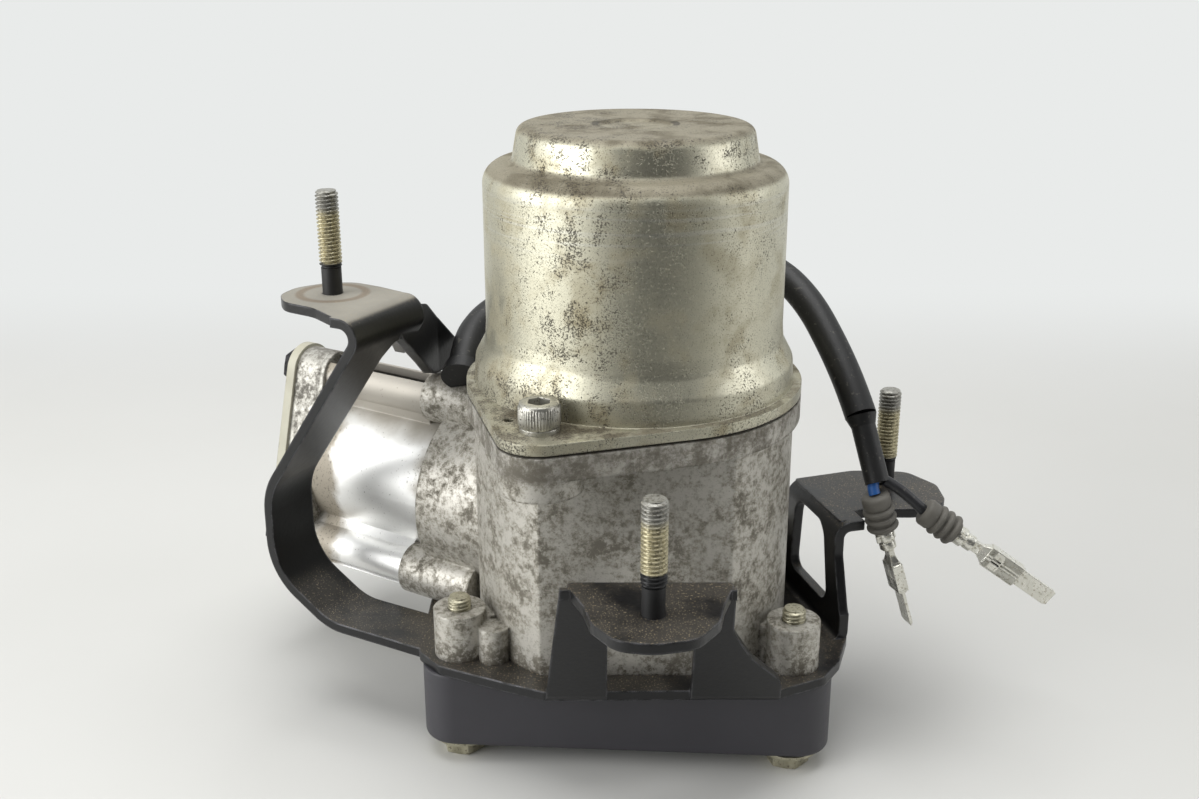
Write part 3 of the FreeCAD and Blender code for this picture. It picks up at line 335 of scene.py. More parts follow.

# %% [markdown]
# Die-cast aluminium comes out of its mould with a faint orange-peel skin. Road dirt sits in
# the skin as grey-brown clouds, and the raw metal shows through on the parts that hands
# and tools rub. The clouds and the pits are two scales of noise; the rubbed places are the
# clouds turned over. A patchy band just below the rim takes the dirt's colour as painted
# shade, where the rim overhangs the wall.


# %% Castings
def cast_skin(name, light, dark, grime, pit=0.00012):
    paint = Paint(name)
    z = height_of(paint)
    patch = clouds(paint, 95, 9, shift=2.1, roughness=0.78)
    grain = clouds(paint, 520, 6, shift=0.4, roughness=0.78)
    skin = clouds(paint, 2300, 3, shift=3.3, roughness=0.7)
    stain = step(paint, patch * 0.5 + grain * 0.5, 0.44, 0.55)
    dirt = step(paint, patch * 0.6 + grain * 0.42, 0.53, 0.59)
    dots = step(paint, skin, 0.6, 0.7)
    # Painted shade: a band just below the rim, 84 to 89.5 mm high and broken into patches, takes the grime
    # colour.
    painted_shade_under_rim = band(paint, z, 0.084, 0.0895, 0.003) * step(paint, patch, 0.36, 0.56)
    low = (1 - step(paint, z, 0.0235, 0.033)) * 0.7
    colour = mixed(paint, light, dark, stain)
    # This mask holds real dirt, the darker bottom and the pits, and also the painted shade below the rim.
    film = (dirt * 0.55).most(painted_shade_under_rim * 0.6).most(low * stain).most(dots * 0.6)
    colour = mixed(paint, colour, grime, film)
    rough = 0.46 + 0.2 * stain + 0.18 * dirt
    return paint.set(Base_Color=colour, Roughness=rough, Metallic=0.6 - 0.4 * film,
                     Normal=relief(paint, grain * 0.6 + skin * 0.4, pit, soft_edges(paint, 0.0009)))


def cast_aluminium():
    return cast_skin("cast_aluminium", tone(188, 185, 177), tone(148, 144, 133), tone(66, 59, 47))


def head_aluminium():
    return cast_skin("head_aluminium", tone(190, 188, 180), tone(150, 147, 139), tone(62, 56, 48), 0.00008)


print("finish", cast_aluminium.__name__, head_aluminium.__name__)

# %% [markdown]
# Black parts are never black. The bracket's dip paint is satin, grey where its edges have
# rubbed, and everything that looks up holds fine brown dust. The left arm carries painted
# shade: its paint is made darker for the shade on its inner face. The base cover is smoother
# and a little blue, with thin pale scratches.


# %% Black paints
# Heights and places of the dusty shelves, in metres.
left_shelf_level = 0.1085
left_stud_spot = (-0.0795, 0.014)
right_shelf_level = 0.066
right_shelf_start = 0.044


def bracket_black():
    paint = Paint("bracket_black", Specular_IOR_Level=0.4)
    grain = clouds(paint, 900, 3, shift=0.8)
    dust_grain = clouds(paint, 2300, 2, shift=4.1)
    patch = clouds(paint, 75, 4, shift=1.9)
    worn = edge_mask(paint, 0.0008) * step(paint, clouds(paint, 260, 3, shift=5.0), 0.36, 0.6)
    level = facing_up(paint)
    x = along_axis(paint, "X")
    z = height_of(paint)
    left_shelf = step(paint, z, left_shelf_level, left_shelf_level + 0.001) * level
    ring = left_shelf * band(paint, away_from(paint, *left_stud_spot), 0.0082, 0.0092, 0.0012)
    right_shelf = level * step(paint, x, right_shelf_start, right_shelf_start + 0.004)
    right_shelf = right_shelf * step(paint, z, right_shelf_level, right_shelf_level + 0.002)
    dust = (level * step(paint, patch, 0.3, 0.62) * 0.3).most(left_shelf * 0.9).most(right_shelf * 0.9)
    grit = level * step(paint, dust_grain, 0.6, 0.68) * step(paint, patch, 0.3, 0.55)
    film = mixed(paint, tone(12, 12, 13), tone(24, 24, 26), grain)
    # Painted shade: left of x = -0.05 m the paint falls to near black, for the shaded inner face of the left
    # arm.
    film = mixed(paint, film, tone(7, 7, 8), 1 - step(paint, x, -0.06, -0.045))
    pale = left_shelf.most(right_shelf * 0.7)
    dust_tone = mixed(paint, tone(104, 98, 88), tone(164, 160, 149), pale)
    colour = mixed(paint, film, dust_tone, dust * (0.6 + 0.5 * patch))
    colour = mixed(paint, colour, tone(104, 84, 60), ring * 0.55)
    colour = mixed(paint, colour, tone(176, 160, 130), grit * 0.6)
    colour = mixed(paint, colour, tone(112, 112, 116), worn * 0.75)
    rough = 0.26 + 0.12 * grain + 0.4 * dust
    return paint.set(Base_Color=colour, Roughness=rough, Metallic=worn * 0.5,
                     Normal=relief(paint, grain + dust_grain * dust, 0.00004, soft_edges(paint, 0.0008)))


def cover_black():
    paint = Paint("cover_black", Specular_IOR_Level=0.5)
    grain = clouds(paint, 600, 3, shift=0.2)
    scratch = step(paint, clouds(paint, 300, 2, stretch=(0.25, 1, 2.2), shift=6.0), 0.72, 0.78)
    worn = edge_mask(paint, 0.0007) * step(paint, clouds(paint, 120, 3), 0.4, 0.65)
    patch = clouds(paint, 45, 3, shift=7.7)
    colour = mixed(paint, tone(44, 43, 48), tone(58, 57, 62), patch)
    colour = mixed(paint, colour, tone(120, 118, 116), (scratch * 0.35).most(worn * 0.5))
    return paint.set(Base_Color=colour, Roughness=0.36 + 0.14 * patch + 0.1 * grain,
                     Normal=relief(paint, grain, 0.00003, soft_edges(paint, 0.0012)))


print("finish", bracket_black.__name__, cover_black.__name__)

# %% [markdown]
# The barrel is an extrusion, bright from its die, with oily smudges at both ends. Along its
# top, a painted shade in the oil's brown stands for the shadow of the bracket's arm. The outer
# plate of the head is painted a pale cream. Fasteners are plated with zinc: the studs keep
# a black neck where the bracket's paint ran over them.


# %% Barrel, head plate and fasteners
def bright_barrel():
    paint = Paint("bright_barrel")
    smudge = clouds(paint, 60, 4, shift=2.6)
    streak = clouds(paint, 260, 3, stretch=(0.3, 0.5, 1), shift=1.2)
    reach = along_axis(paint, "X") * outward.x + along_axis(paint, "Y") * outward.y
    ends = 1 - band(paint, reach + (smudge - 0.5) * 0.02, 0.0605, 0.084, 0.006)
    # Painted shade: above about 64 mm the barrel takes the brown oil tone, for the shadow of the bracket's
    # arm.
    painted_shade_on_top = step(paint, height_of(paint) + (smudge - 0.5) * 0.01, 0.064, 0.07) * 0.8
    # This mask holds both the oily ends and the painted shade along the top.
    oil_and_shade = (ends * step(paint, smudge, 0.3, 0.52)).most(painted_shade_on_top)
    speck = step(paint, clouds(paint, 1500, 3, shift=8.0) + 0.08 * ends, 0.64, 0.74)
    colour = mixed(paint, tone(228, 228, 226), tone(120, 108, 84), oil_and_shade * 0.8)
    joint = 1 - step(paint, reach, 0.0536, 0.0544)
    colour = mixed(paint, colour, tone(60, 50, 36), (speck * 0.5).most(joint * 0.9))
    return paint.set(Base_Color=colour, Roughness=0.4 + 0.15 * oil_and_shade + 0.08 * streak, Metallic=0.9 - 0.4 * oil_and_shade,
                     Normal=relief(paint, streak, 0.00002, soft_edges(paint, 0.0005)))


def cream_plate():
    paint = Paint("cream_plate")
    patch = clouds(paint, 90, 4, shift=3.2)
    chips = edge_mask(paint, 0.0006) * step(paint, clouds(paint, 300, 3), 0.5, 0.65)
    colour = mixed(paint, tone(196, 194, 178), tone(160, 156, 136), patch)
    colour = mixed(paint, colour, tone(70, 64, 54), chips * 0.8)
    return paint.set(Base_Color=colour, Roughness=0.42 + 0.2 * patch,
                     Normal=relief(paint, patch, 0.00005, soft_edges(paint, 0.0005)))


def plated(name, light, dark, grime, rough=0.34):
    paint = Paint(name)
    cloud = clouds(paint, 420, 4, shift=1.1)
    speck = step(paint, clouds(paint, 1500, 3, shift=5.5), 0.56, 0.68)
    colour = mixed(paint, light, dark, cloud)
    colour = mixed(paint, colour, grime, speck * 0.75)
    return paint.set(Base_Color=colour, Roughness=rough + 0.25 * cloud, Metallic=0.9 - 0.5 * speck,
                     Normal=relief(paint, cloud - speck, 0.00004, soft_edges(paint, 0.0003)))


def stud_zinc(name, neck_top, tip):
    paint = Paint(name)
    z = height_of(paint)
    cloud = clouds(paint, 420, 4, shift=0.6)
    speck = step(paint, clouds(paint, 1700, 3, shift=2.5), 0.5, 0.64)
    bare = step(paint, z + (cloud - 0.5) * 0.0015, neck_top, neck_top + 0.0006)
    grey_end = step(paint, z, tip - 0.007, tip - 0.004)
    zinc = mixed(paint, tone(206, 199, 170), tone(164, 156, 128), cloud)
    zinc = mixed(paint, zinc, tone(150, 150, 148), grey_end * 0.85)
    zinc = mixed(paint, zinc, tone(66, 58, 44), speck * 0.6)
    colour = mixed(paint, tone(20, 20, 21), zinc, bare)
    return paint.set(Base_Color=colour, Roughness=0.42 + 0.2 * cloud, Metallic=0.85 * bare,
                     Normal=relief(paint, cloud, 0.00003))


print("finish", bright_barrel.__name__, cream_plate.__name__, plated.__name__, stud_zinc.__name__)

# %% [markdown]
# The lead is soft black sleeving that has gone a little grey. Its seals are grey silicone,
# its terminals tinned brass. Turned and ground metals differ mostly in tone and roughness,
# so one function with fine rings across the axis serves them all.


# %% Rubber and plain metals
def rubber(name, light, dark, rough):
    paint = Paint(name, Specular_IOR_Level=0.4)
    cloud = clouds(paint, 180, 4, shift=0.5)
    grain = clouds(paint, 1600, 2, shift=2.2)
    dust = step(paint, clouds(paint, 900, 3, shift=3.9), 0.62, 0.72)
    colour = mixed(paint, mixed(paint, dark, light, cloud), tone(120, 116, 106), dust * 0.3)
    return paint.set(Base_Color=colour, Roughness=rough + 0.16 * cloud,
                     Normal=relief(paint, cloud * 0.5 + grain * 0.3, 0.00012))


def plain_metal(name, light, dark, rough, metal=1.0, scale=300):
    paint = Paint(name, Metallic=metal)
    cloud = clouds(paint, scale, 4, shift=1.4)
    turned = clouds(paint, 900, 2, stretch=(0.1, 0.1, 1), shift=0.9)
    return paint.set(Base_Color=mixed(paint, dark, light, cloud), Roughness=rough + 0.15 * turned,
                     Normal=relief(paint, turned, 0.00002))


print("finish", rubber.__name__, plain_metal.__name__)

# %% [markdown]
# One table holds every finish by a short name. The inner parts never show in a photograph,
# yet they do when the part is taken apart, so each gets an honest finish too.

# %% All finishes
finishes = {
    "can": can_zinc(), "casting": cast_aluminium(), "head": head_aluminium(), "bracket": bracket_black(),
    "cover": cover_black(), "barrel": bright_barrel(), "cream": cream_plate(),
    "screw": plated("screw_zinc", tone(206, 205, 198), tone(150, 147, 136), tone(56, 50, 40), 0.25),
    "bolt": plated("bolt_zinc", tone(200, 196, 176), tone(150, 145, 122), tone(70, 62, 46)),
    "dark_bolt": plated("dark_bolt", tone(52, 52, 54), tone(28, 28, 30), tone(84, 78, 70), 0.36),
    "gasket": rubber("gasket_fibre", tone(58, 54, 46), tone(40, 37, 32), 0.7),
    "sleeve": rubber("sleeve_black", tone(22, 22, 22), tone(10, 10, 11), 0.42),
    "black_wire": rubber("wire_black", tone(44, 45, 48), tone(26, 26, 28), 0.36),
    "blue_wire": rubber("wire_blue", tone(40, 98, 168), tone(24, 66, 124), 0.36),
    "seal": rubber("seal_grey", tone(106, 103, 96), tone(76, 74, 69), 0.5),
    "tin": plated("terminal_tin", tone(236, 235, 228), tone(204, 202, 190), tone(160, 152, 128), 0.16),
    "steel": plain_metal("ground_steel", tone(200, 200, 202), tone(160, 160, 164), 0.25),
    "dark_steel": plain_metal("laminated_steel", tone(90, 88, 86), tone(58, 56, 54), 0.45),
    "copper": plain_metal("winding_copper", tone(196, 120, 76), tone(146, 78, 42), 0.35, scale=900),
    "bronze": plain_metal("sintered_bronze", tone(176, 138, 88), tone(134, 98, 56), 0.55),
    "ferrite": plain_metal("ferrite", tone(66, 66, 68), tone(44, 44, 46), 0.7, metal=0.1),
    "phenolic": plain_metal("phenolic", tone(126, 88, 54), tone(96, 64, 38), 0.5, metal=0.0),
}
print("finishes", len(finishes))

# %% [markdown]
# Each node of the frame keeps its shape and only changes its material slot. One table says
# which finish goes where; its rows follow the way the pump is put together.

# %% Dress the frame
wearing = {
    "can": ["motor_can"], "casting": ["pump_housing"],
    "head": ["cylinder_head", "valve_plate", "connecting_rod", "piston"], "bracket": ["mounting_bracket"],
    "cover": ["base_cover"], "barrel": ["cylinder_barrel"], "cream": ["head_plate"],
    "gasket": ["motor_gasket"], "sleeve": ["barrel_seal", "lead_grommet", "lead_boot"],
    "steel": ["armature_shaft", "suction_reed", "outlet_reed", "bearing_outer_ring", "bearing_inner_ring",
              "bearing_balls", "crank_pin", "needle_bearing", "wrist_pin"],
    "dark_steel": ["armature_core", "crank_web"],
    "copper": ["upper_coil", "lower_coil", "commutator"], "bronze": ["top_bush"],
    "ferrite": ["left_magnet", "right_magnet", "left_brush", "right_brush"],
    "phenolic": ["brush_plate", "piston_ring"], "bolt": ["suction_nipple"],
}


def wear(piece, material):
    """Give a piece one material all over."""
    piece.data.materials.clear()
    piece.data.materials.append(material)


for finish, names in wearing.items():
    for name in names:
        wear(nodes[name], finishes[finish])
print("dressed", sum(len(names) for names in wearing.values()))

# %% [markdown]
# Small turned parts are lathe work: a profile goes once round an axis. A screw modifier
# could turn it too, yet rings of vertices made by hand also serve the threads and knurls
# below, where the radius changes with the angle.


# %% Lathe
def lathe(mesh, profile, sides=48):
    """Turn a list of (radius, height) round the Z axis, in millimetres."""
    rings = []
    for radius, z in profile:
        if radius == 0:
            rings.append([mesh.verts.new((0, 0, z * mm))])
            continue
        angles = [2 * math.pi * i / sides for i in range(sides)]
        rings.append([mesh.verts.new((radius * mm * math.cos(a), radius * mm * math.sin(a), z * mm))
                      for a in angles])
    join_rings(mesh, rings, sides)


def join_rings(mesh, rings, sides):
    """Faces between neighbouring rings; a ring of one vertex closes the shape."""
    for low, high in zip(rings, rings[1:]):
        for i in range(sides):
            j = (i + 1) % sides
            corners = [low[i % len(low)], low[j % len(low)], high[j % len(high)], high[i % len(high)]]
            unique = list(dict.fromkeys(corners))
            if len(unique) > 2:
                mesh.faces.new(unique)


print("lathe ready")

# %% [markdown]
# A thread is the same surface with a radius that also depends on the angle, so the ridge
# climbs one pitch each turn. A bump map would leave the outline straight, and on the studs
# the outline is what shows, so the ridges are real geometry.


# %% Thread
def thread(mesh, radius, low, high, pitch=1.0, depth=0.55, sides=40, cuts=6):
    """Closed threaded rod between two heights, with tapered ends."""
    rings = [[mesh.verts.new((0, 0, low * mm))]]
    count = max(2, round((high - low) / pitch * cuts))
    for k in range(count + 1):
        z = low + (high - low) * k / count
        taper = min(1.0, (z - low) / pitch + 0.2, (high - z) / pitch + 0.25)
        ring = []
        for i in range(sides):
            phase = (z / pitch - i / sides) % 1.0
            ridge = min(1.0, max(0.0, 1.6 - abs(phase - 0.5) * 4.2))
            here = radius - depth + depth * ridge
            here = here * taper + (radius - depth - 0.15) * (1 - taper)
            angle = 2 * math.pi * i / sides
            ring.append(mesh.verts.new((here * mm * math.cos(angle), here * mm * math.sin(angle), z * mm)))
        rings.append(ring)
    rings.append([mesh.verts.new((0, 0, high * mm))])
    join_rings(mesh, rings, sides)


print("thread ready")

# %% [markdown]
# A bolt head is a six-sided prism whose crown is chamfered round. Its flats come from one
# formula, the distance to the nearest flat at each angle, held back a little at the corners.


# %% Bolt head
def prism(mesh, half_flat, low, high, bevel=0.6, turn=15.0):
    """Six-sided bolt head with its crown chamfered round."""
    reach = half_flat / math.cos(math.radians(30))
    rings = []
    for share, z in [(0.0, low), (1.0, low), (1.0, high - bevel * 0.6), (0.9, high), (0.0, high)]:
        if share == 0.0:
            rings.append([mesh.verts.new((0, 0, z * mm))])
            continue
        ring = []
        for i in range(36):
            angle = 2 * math.pi * i / 36
            edge = half_flat / math.cos((angle + math.pi / 6) % (math.pi / 3) - math.pi / 6)
            r = min(edge, reach * 0.985) if share == 1.0 else min(edge, half_flat * 0.95)
            ring.append(mesh.verts.new((r * mm * math.cos(angle), r * mm * math.sin(angle), z * mm)))
        rings.append(ring)
    join_rings(mesh, rings, 36)
    spin = Matrix.Rotation(math.radians(turn), 4, "Z")
    bmesh.ops.transform(mesh, matrix=spin, verts=[v for ring in rings for v in ring])


print("bolt head ready")

# %% [markdown]
# Everything is made upright at the origin and then moved as mesh data, so that each object
# stays at the frame's origin. Shading is smooth, and edges where two faces meet at a clear
# angle are marked sharp: round surfaces look round and rims stay crisp.


# %% From mesh to piece
def finished(name, mesh, matrix=None, smooth_angle=40.0):
    """Turn a bmesh into an object of the scene, moved as data, with sharp edges kept."""
    bmesh.ops.recalc_face_normals(mesh, faces=mesh.faces)
    if matrix is not None:
        mesh.transform(matrix)
    for face in mesh.faces:
        face.smooth = True
    for edge in mesh.edges:
        if len(edge.link_faces) == 2 and edge.calc_face_angle() > math.radians(smooth_angle):
            edge.smooth = False
    data = bpy.data.meshes.new(name)
    mesh.to_mesh(data)
    mesh.free()
    piece = bpy.data.objects.new(name, data)
    bpy.context.scene.collection.objects.link(piece)
    return piece


def stands_for(piece, material, slot, *replaced):
    """The usual last steps of a piece: finish, body and the nodes it replaces. The slot argument is not
    used.
    """
    wear(piece, material)
    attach(piece, "pump_body")
    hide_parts(*replaced)
    return piece


def axis_of(name):
    """Where an upright node stands and its lowest and highest level, in millimetres."""
    low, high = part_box(name)
    middle = (low + high) / 2
    return middle.x / mm, middle.y / mm, low.z / mm, high.z / mm


print("meshes can become pieces")

# %% [markdown]
# Three studs stand out of the bracket. Each has a plain neck that the black paint reached,
# and a rolled M6 thread above it, one millimetre a turn.

# %% Studs
stud_radius = 3.0
stud_neck = 2.65
stud_thread = 20.0
stud_head = 5.2
head_thickness = 1.6
for side in ("front", "left", "right"):
    x, y, low, high = axis_of(side + "_stud")
    mesh = bmesh.new()
    start = high - stud_thread
    lathe(mesh, [(0, low), (stud_head - 0.4, low), (stud_head, low + 0.4), (stud_head, low + head_thickness),
                 (stud_neck, low + head_thickness), (stud_neck, start - 0.4), (0, start)])
    thread(mesh, stud_radius, start - 0.5, high)
    piece = finished(side + "_stud_threaded", mesh, Matrix.Translation(Vector((x, y, 0)) * mm))
    neck_top = (start + 0.6 if side != "front" else start + 2.6) * mm
    stands_for(piece, stud_zinc(side + "_stud_zinc", neck_top, high * mm), "stud_steel", side + "_stud")
    print("stud", side, round(high - low, 1), "mm")

# %% [markdown]
# The four base bolts come up from below. Their flanges and heads carry the pump on the
# table, and their thread ends stand out of the feet.

# %% Base bolts
bolt_radius = 3.0
bolt_head_flat = 5.0
bolt_head = 4.0
bolt_flange = 8.2
bolt_flange_top = 5.5
bolt_thread = 12.0
for corner in ("front_left", "front_right", "rear_right", "rear_left"):
    x, y, low, high = axis_of("base_bolt_" + corner)
    mesh = bmesh.new()
    prism(mesh, bolt_head_flat, low, low + bolt_head)
    lift = Matrix.Translation((0, 0, (2 * low + bolt_head) * mm))
    bmesh.ops.transform(mesh, matrix=lift @ Matrix.Scale(-1, 4, (0, 0, 1)), verts=mesh.verts[:])
    seat = low + bolt_head
    top = low + bolt_flange_top
    start = high - bolt_thread
    lathe(mesh, [(0, seat), (bolt_flange - 1.6, seat), (bolt_flange - 0.2, seat + 0.5),
                 (bolt_flange, seat + 0.9), (bolt_flange, top), (bolt_radius, top),
                 (bolt_radius - 0.2, start), (0, start)])
    thread(mesh, bolt_radius, start - 0.2, high)
    piece = finished("base_bolt_" + corner + "_threaded", mesh, Matrix.Translation(Vector((x, y, 0)) * mm))
    stands_for(piece, finishes["bolt"], "zinc_steel", "base_bolt_" + corner)
print("base bolts 4")

# %% [markdown]
# The socket screws have straight-knurled heads. The knurl is a ring whose radius goes in
# and out with the angle, under a smooth rim. The socket is six-sided like a bolt head, only
# turned inwards.


# %% Knurled head
socket_flat = 2.5
socket_depth = 3.2


def knurled(mesh, radius, low, high, teeth=44, depth=0.28):
    """Ring of straight knurls with a smooth rounded rim and a six-sided socket."""
    sides = teeth * 4
    profile = [(radius - 0.5, low, 0), (radius - depth, low + 0.3, 0), (radius, low + 0.7, 1),
               (radius, high - 1.1, 1), (radius - depth, high - 0.8, 0), (radius - 0.35, high - 0.25, 0),
               (radius - 0.9, high, 0)]
    rings = []
    for r, z, cut in profile:
        ring = []
        for i in range(sides):
            angle = 2 * math.pi * i / sides
            here = r - cut * depth * (0.5 + 0.5 * math.cos(teeth * angle))
            ring.append(mesh.verts.new((here * mm * math.cos(angle), here * mm * math.sin(angle), z * mm)))
        rings.append(ring)
    for z in (high, high - socket_depth):
        ring = []
        for i in range(sides):
            angle = 2 * math.pi * i / sides
            r = socket_flat / math.cos((angle + math.pi / 6) % (math.pi / 3) - math.pi / 6)
            ring.append(mesh.verts.new((r * mm * math.cos(angle), r * mm * math.sin(angle), z * mm)))
        rings.append(ring)
    rings.append([mesh.verts.new((0, 0, (high - socket_depth - 0.4) * mm))])
    join_rings(mesh, rings, sides)
    mesh.faces.new(list(reversed(rings[0])))


print("knurled head ready")

# %% [markdown]
# Two of these screws clamp the can's flange and its gasket to the casting. A plain washer
# lies under each head.

# %% Motor screws
screw_radius = 3.0
screw_head_radius = 5.0
screw_head = 6.0
washer = 1.0
washer_inner = 3.1
washer_outer = 4.7
for end in ("front", "rear"):
    x, y, low, high = axis_of("motor_screw_" + end)
    mesh = bmesh.new()
    seat = high - screw_head
    knurled(mesh, screw_head_radius, seat, high)
    lathe(mesh, [(washer_inner, seat - washer), (washer_outer, seat - washer), (washer_outer, seat),
                 (washer_inner, seat), (washer_inner, seat - washer)], 40)
    lathe(mesh, [(0, low), (screw_radius, low + 0.4), (screw_radius, seat), (0, seat)])
    piece = finished("motor_screw_" + end + "_knurled", mesh, Matrix.Translation(Vector((x, y, 0)) * mm))
    stands_for(piece, finishes["screw"], "zinc_steel", "motor_screw_" + end)
print("motor screws 2")

# %% [markdown]
# Three long bolts hold head and barrel to the casting. The barrel's channels are open, so
# each shank shows, and so does the thread where it enters the casting's lug.

# %% Long bolts
sideways = Vector((-outward.y, outward.x, 0))
cylinder_level = 49.5
cylinder_frame = Matrix((sideways, Vector((0, 0, 1)), outward)).transposed().to_4x4()
cylinder_frame.translation = Vector((0, 0, cylinder_level)) * mm
bolt_circle = 28.5
bolt_turn = 75.0
lug_end = 60.0
plate_end = 109.6
long_radius = 2.9
long_head_flat = 5.0
long_head = 3.2
plate_washer = 0.8
plate_washer_outer = 6.3
thread_past_lug = 7.2
for number, name in enumerate(("top", "rear", "front")):
    angle = math.radians(bolt_turn + 120 * number)
    centre = Vector((bolt_circle * math.cos(angle), bolt_circle * math.sin(angle), 0)) * mm
    mesh = bmesh.new()
    shank = lug_end + thread_past_lug
    lathe(mesh, [(0, shank - 0.2), (long_radius, shank), (long_radius, plate_end), (0, plate_end)], 32)
    thread(mesh, long_radius, lug_end - 10.5, shank)
    seat = plate_end + plate_washer
    lathe(mesh, [(washer_inner, plate_end), (plate_washer_outer, plate_end), (plate_washer_outer, seat),
                 (washer_inner, seat), (washer_inner, plate_end)])
    prism(mesh, long_head_flat, seat, seat + long_head)
    piece = finished("long_bolt_" + name + "_threaded", mesh, cylinder_frame @ Matrix.Translation(centre))
    stands_for(piece, finishes["dark_bolt"], "dark_steel", "long_bolt_" + name)
print("long bolts 3, cylinder points", [round(v, 2) for v in outward])

# %% [markdown]
# The lead leaves the casting behind the can, lies round it and comes forward on the right.
# Its sleeve is one smooth spline through listed points, the same points as in the
# part's source. Past the sleeve come a rubber boot, which the frame gives, and two short
# wires.


# %% Lead
def spline(name, points, radius):
    """Round cord along a smooth spline with these control points, in millimetres."""
    data = bpy.data.curves.new(name, "CURVE")
    data.dimensions = "3D"
    line = data.splines.new("NURBS")
    line.points.add(len(points) - 1)
    for point, place_mm in zip(line.points, points):
        point.co = (*[v * mm for v in place_mm], 1.0)
    line.order_u = 3
    line.use_endpoint_u = True
    line.resolution_u = 10
    data.bevel_depth = radius * mm
    data.bevel_resolution = 6
    data.use_fill_caps = True
    piece = bpy.data.objects.new(name, data)
    bpy.context.scene.collection.objects.link(piece)
    return piece


sleeve_route = [
    (-46.0, 17.5, 88.4), (-45.4, 24.5, 92.8), (-43.0, 33.0, 96.0), (-37.5, 41.5, 98.6),
    (-29.0, 48.0, 100.8), (-17.0, 53.0, 103.2), (-1.0, 55.5, 106.0), (15.0, 54.0, 109.0),
    (29.5, 47.5, 111.5), (40.5, 37.5, 111.0), (48.5, 26.0, 104.8), (54.0, 14.0, 95.2),
    (57.8, 4.5, 86.5), (59.6, -0.5, 80.8)]
short_route = [(62.2, -9.3, 65.4), (62.1, -9.9, 64.6), (62.2, -10.5, 63.7), (62.5, -11.0, 62.7)]
long_route = [(65.2, -9.1, 66.0), (68.3, -9.4, 64.3), (72.0, -9.7, 61.3), (75.7, -10.0, 57.9)]
short_end = (74.1, -10.0, 25.0)
long_end = (109.8, -15.0, 34.7)
sleeve_radius = 4.2
wire_radius = 1.5
sleeve = spline("lead_sleeve_soft", sleeve_route, sleeve_radius)
stands_for(sleeve, finishes["sleeve"], "black_rubber", "lead_sleeve")
short_wire = spline("short_wire_soft", short_route, wire_radius)
stands_for(short_wire, finishes["blue_wire"], "wire_jacket", "short_wire")
long_wire = spline("long_wire_soft", long_route, wire_radius)
stands_for(long_wire, finishes["black_wire"], "wire_jacket", "long_wire")
print("lead pieces 3")

# %% [markdown]
# Each wire ends in a ribbed seal of grey silicone, made to plug a bore in a connector. It
# is turned upright like the bolts, and one matrix then stands it at the wire's end and
# points it along the way to the terminal's tip.


# %% Ribbed seals
seal_length = 10.5


def towards(start, end):
    """Matrix that stands an upright shape at one point and points it at another."""
    heading = (Vector(end) - Vector(start)).normalized()
    turn = Vector((0, 0, 1)).rotation_difference(heading).to_matrix().to_4x4()
    turn.translation = Vector(start) * mm
    return turn


def ribbed_seal(name, route, end, replaced):
    """Rubber plug with a smooth neck and three ribs."""
    mesh = bmesh.new()
    profile = [(0, 0), (3.1, 0), (3.6, 0.4), (3.75, 0.9), (3.75, 2.9), (3.35, 3.4)]
    for rib in range(3):
        foot = 3.9 + 2.3 * rib
        profile += [(3.3, foot - 0.2), (4.0, foot + 0.1), (4.2, foot + 0.5), (4.2, foot + 0.8),
                    (4.0, foot + 1.2), (3.3, foot + 1.5)]
    lathe(mesh, profile + [(3.3, 10.1), (3.0, seal_length), (0, seal_length)])
    piece = finished(name, mesh, towards(route[-1], end), 60)
    return stands_for(piece, finishes["seal"], "grey_rubber", replaced)


short_seal = ribbed_seal("short_seal_ribbed", short_route, short_end, "short_seal")
long_seal = ribbed_seal("long_seal_ribbed", long_route, long_end, "long_seal")
print("seals 2")

# %% [markdown]
# Past its seal each wire has a male tab terminal, folded from flat strip. Every fold here is
# a chamfered slab, and a taper at its far end makes necks and tips.


# %% Strip
def slab(mesh, x, y, low, high, taper=(1.0, 1.0), middle=(0.0, 0.0)):
    """Chamfered strip from half widths, tapered towards its far end."""
    cut = 0.12
    rings = []
    for z, share_x, share_y in [(low, 1, 1), (high, taper[0], taper[1])]:
        a, b = x * share_x, y * share_y
        outline = [(a - cut, b), (a, b - cut), (a, cut - b), (a - cut, -b),
                   (cut - a, -b), (-a, cut - b), (-a, b - cut), (cut - a, b)]
        rings.append([mesh.verts.new(((u + middle[0]) * mm, (v + middle[1]) * mm, z * mm))
                      for u, v in outline])
    join_rings(mesh, rings, 8)
    mesh.faces.new(rings[0])
    mesh.faces.new(rings[1])


print("strip ready")

# %% [markdown]
# Wings are rolled round the seal and the wire, a box with a slot in its lid is folded for
# stiffness, and the tab is doubled over and chamfered at its tip. The two terminals hang
# turned round their own axes, each as the photograph shows it.


# %% Tab terminals
crimp_run = 10.0
tab_run = 11.0
half_box = 2.9
half_sheet = 0.25
lid = 1.25
terminal_roll = {"short": 264.0, "long": 172.0}


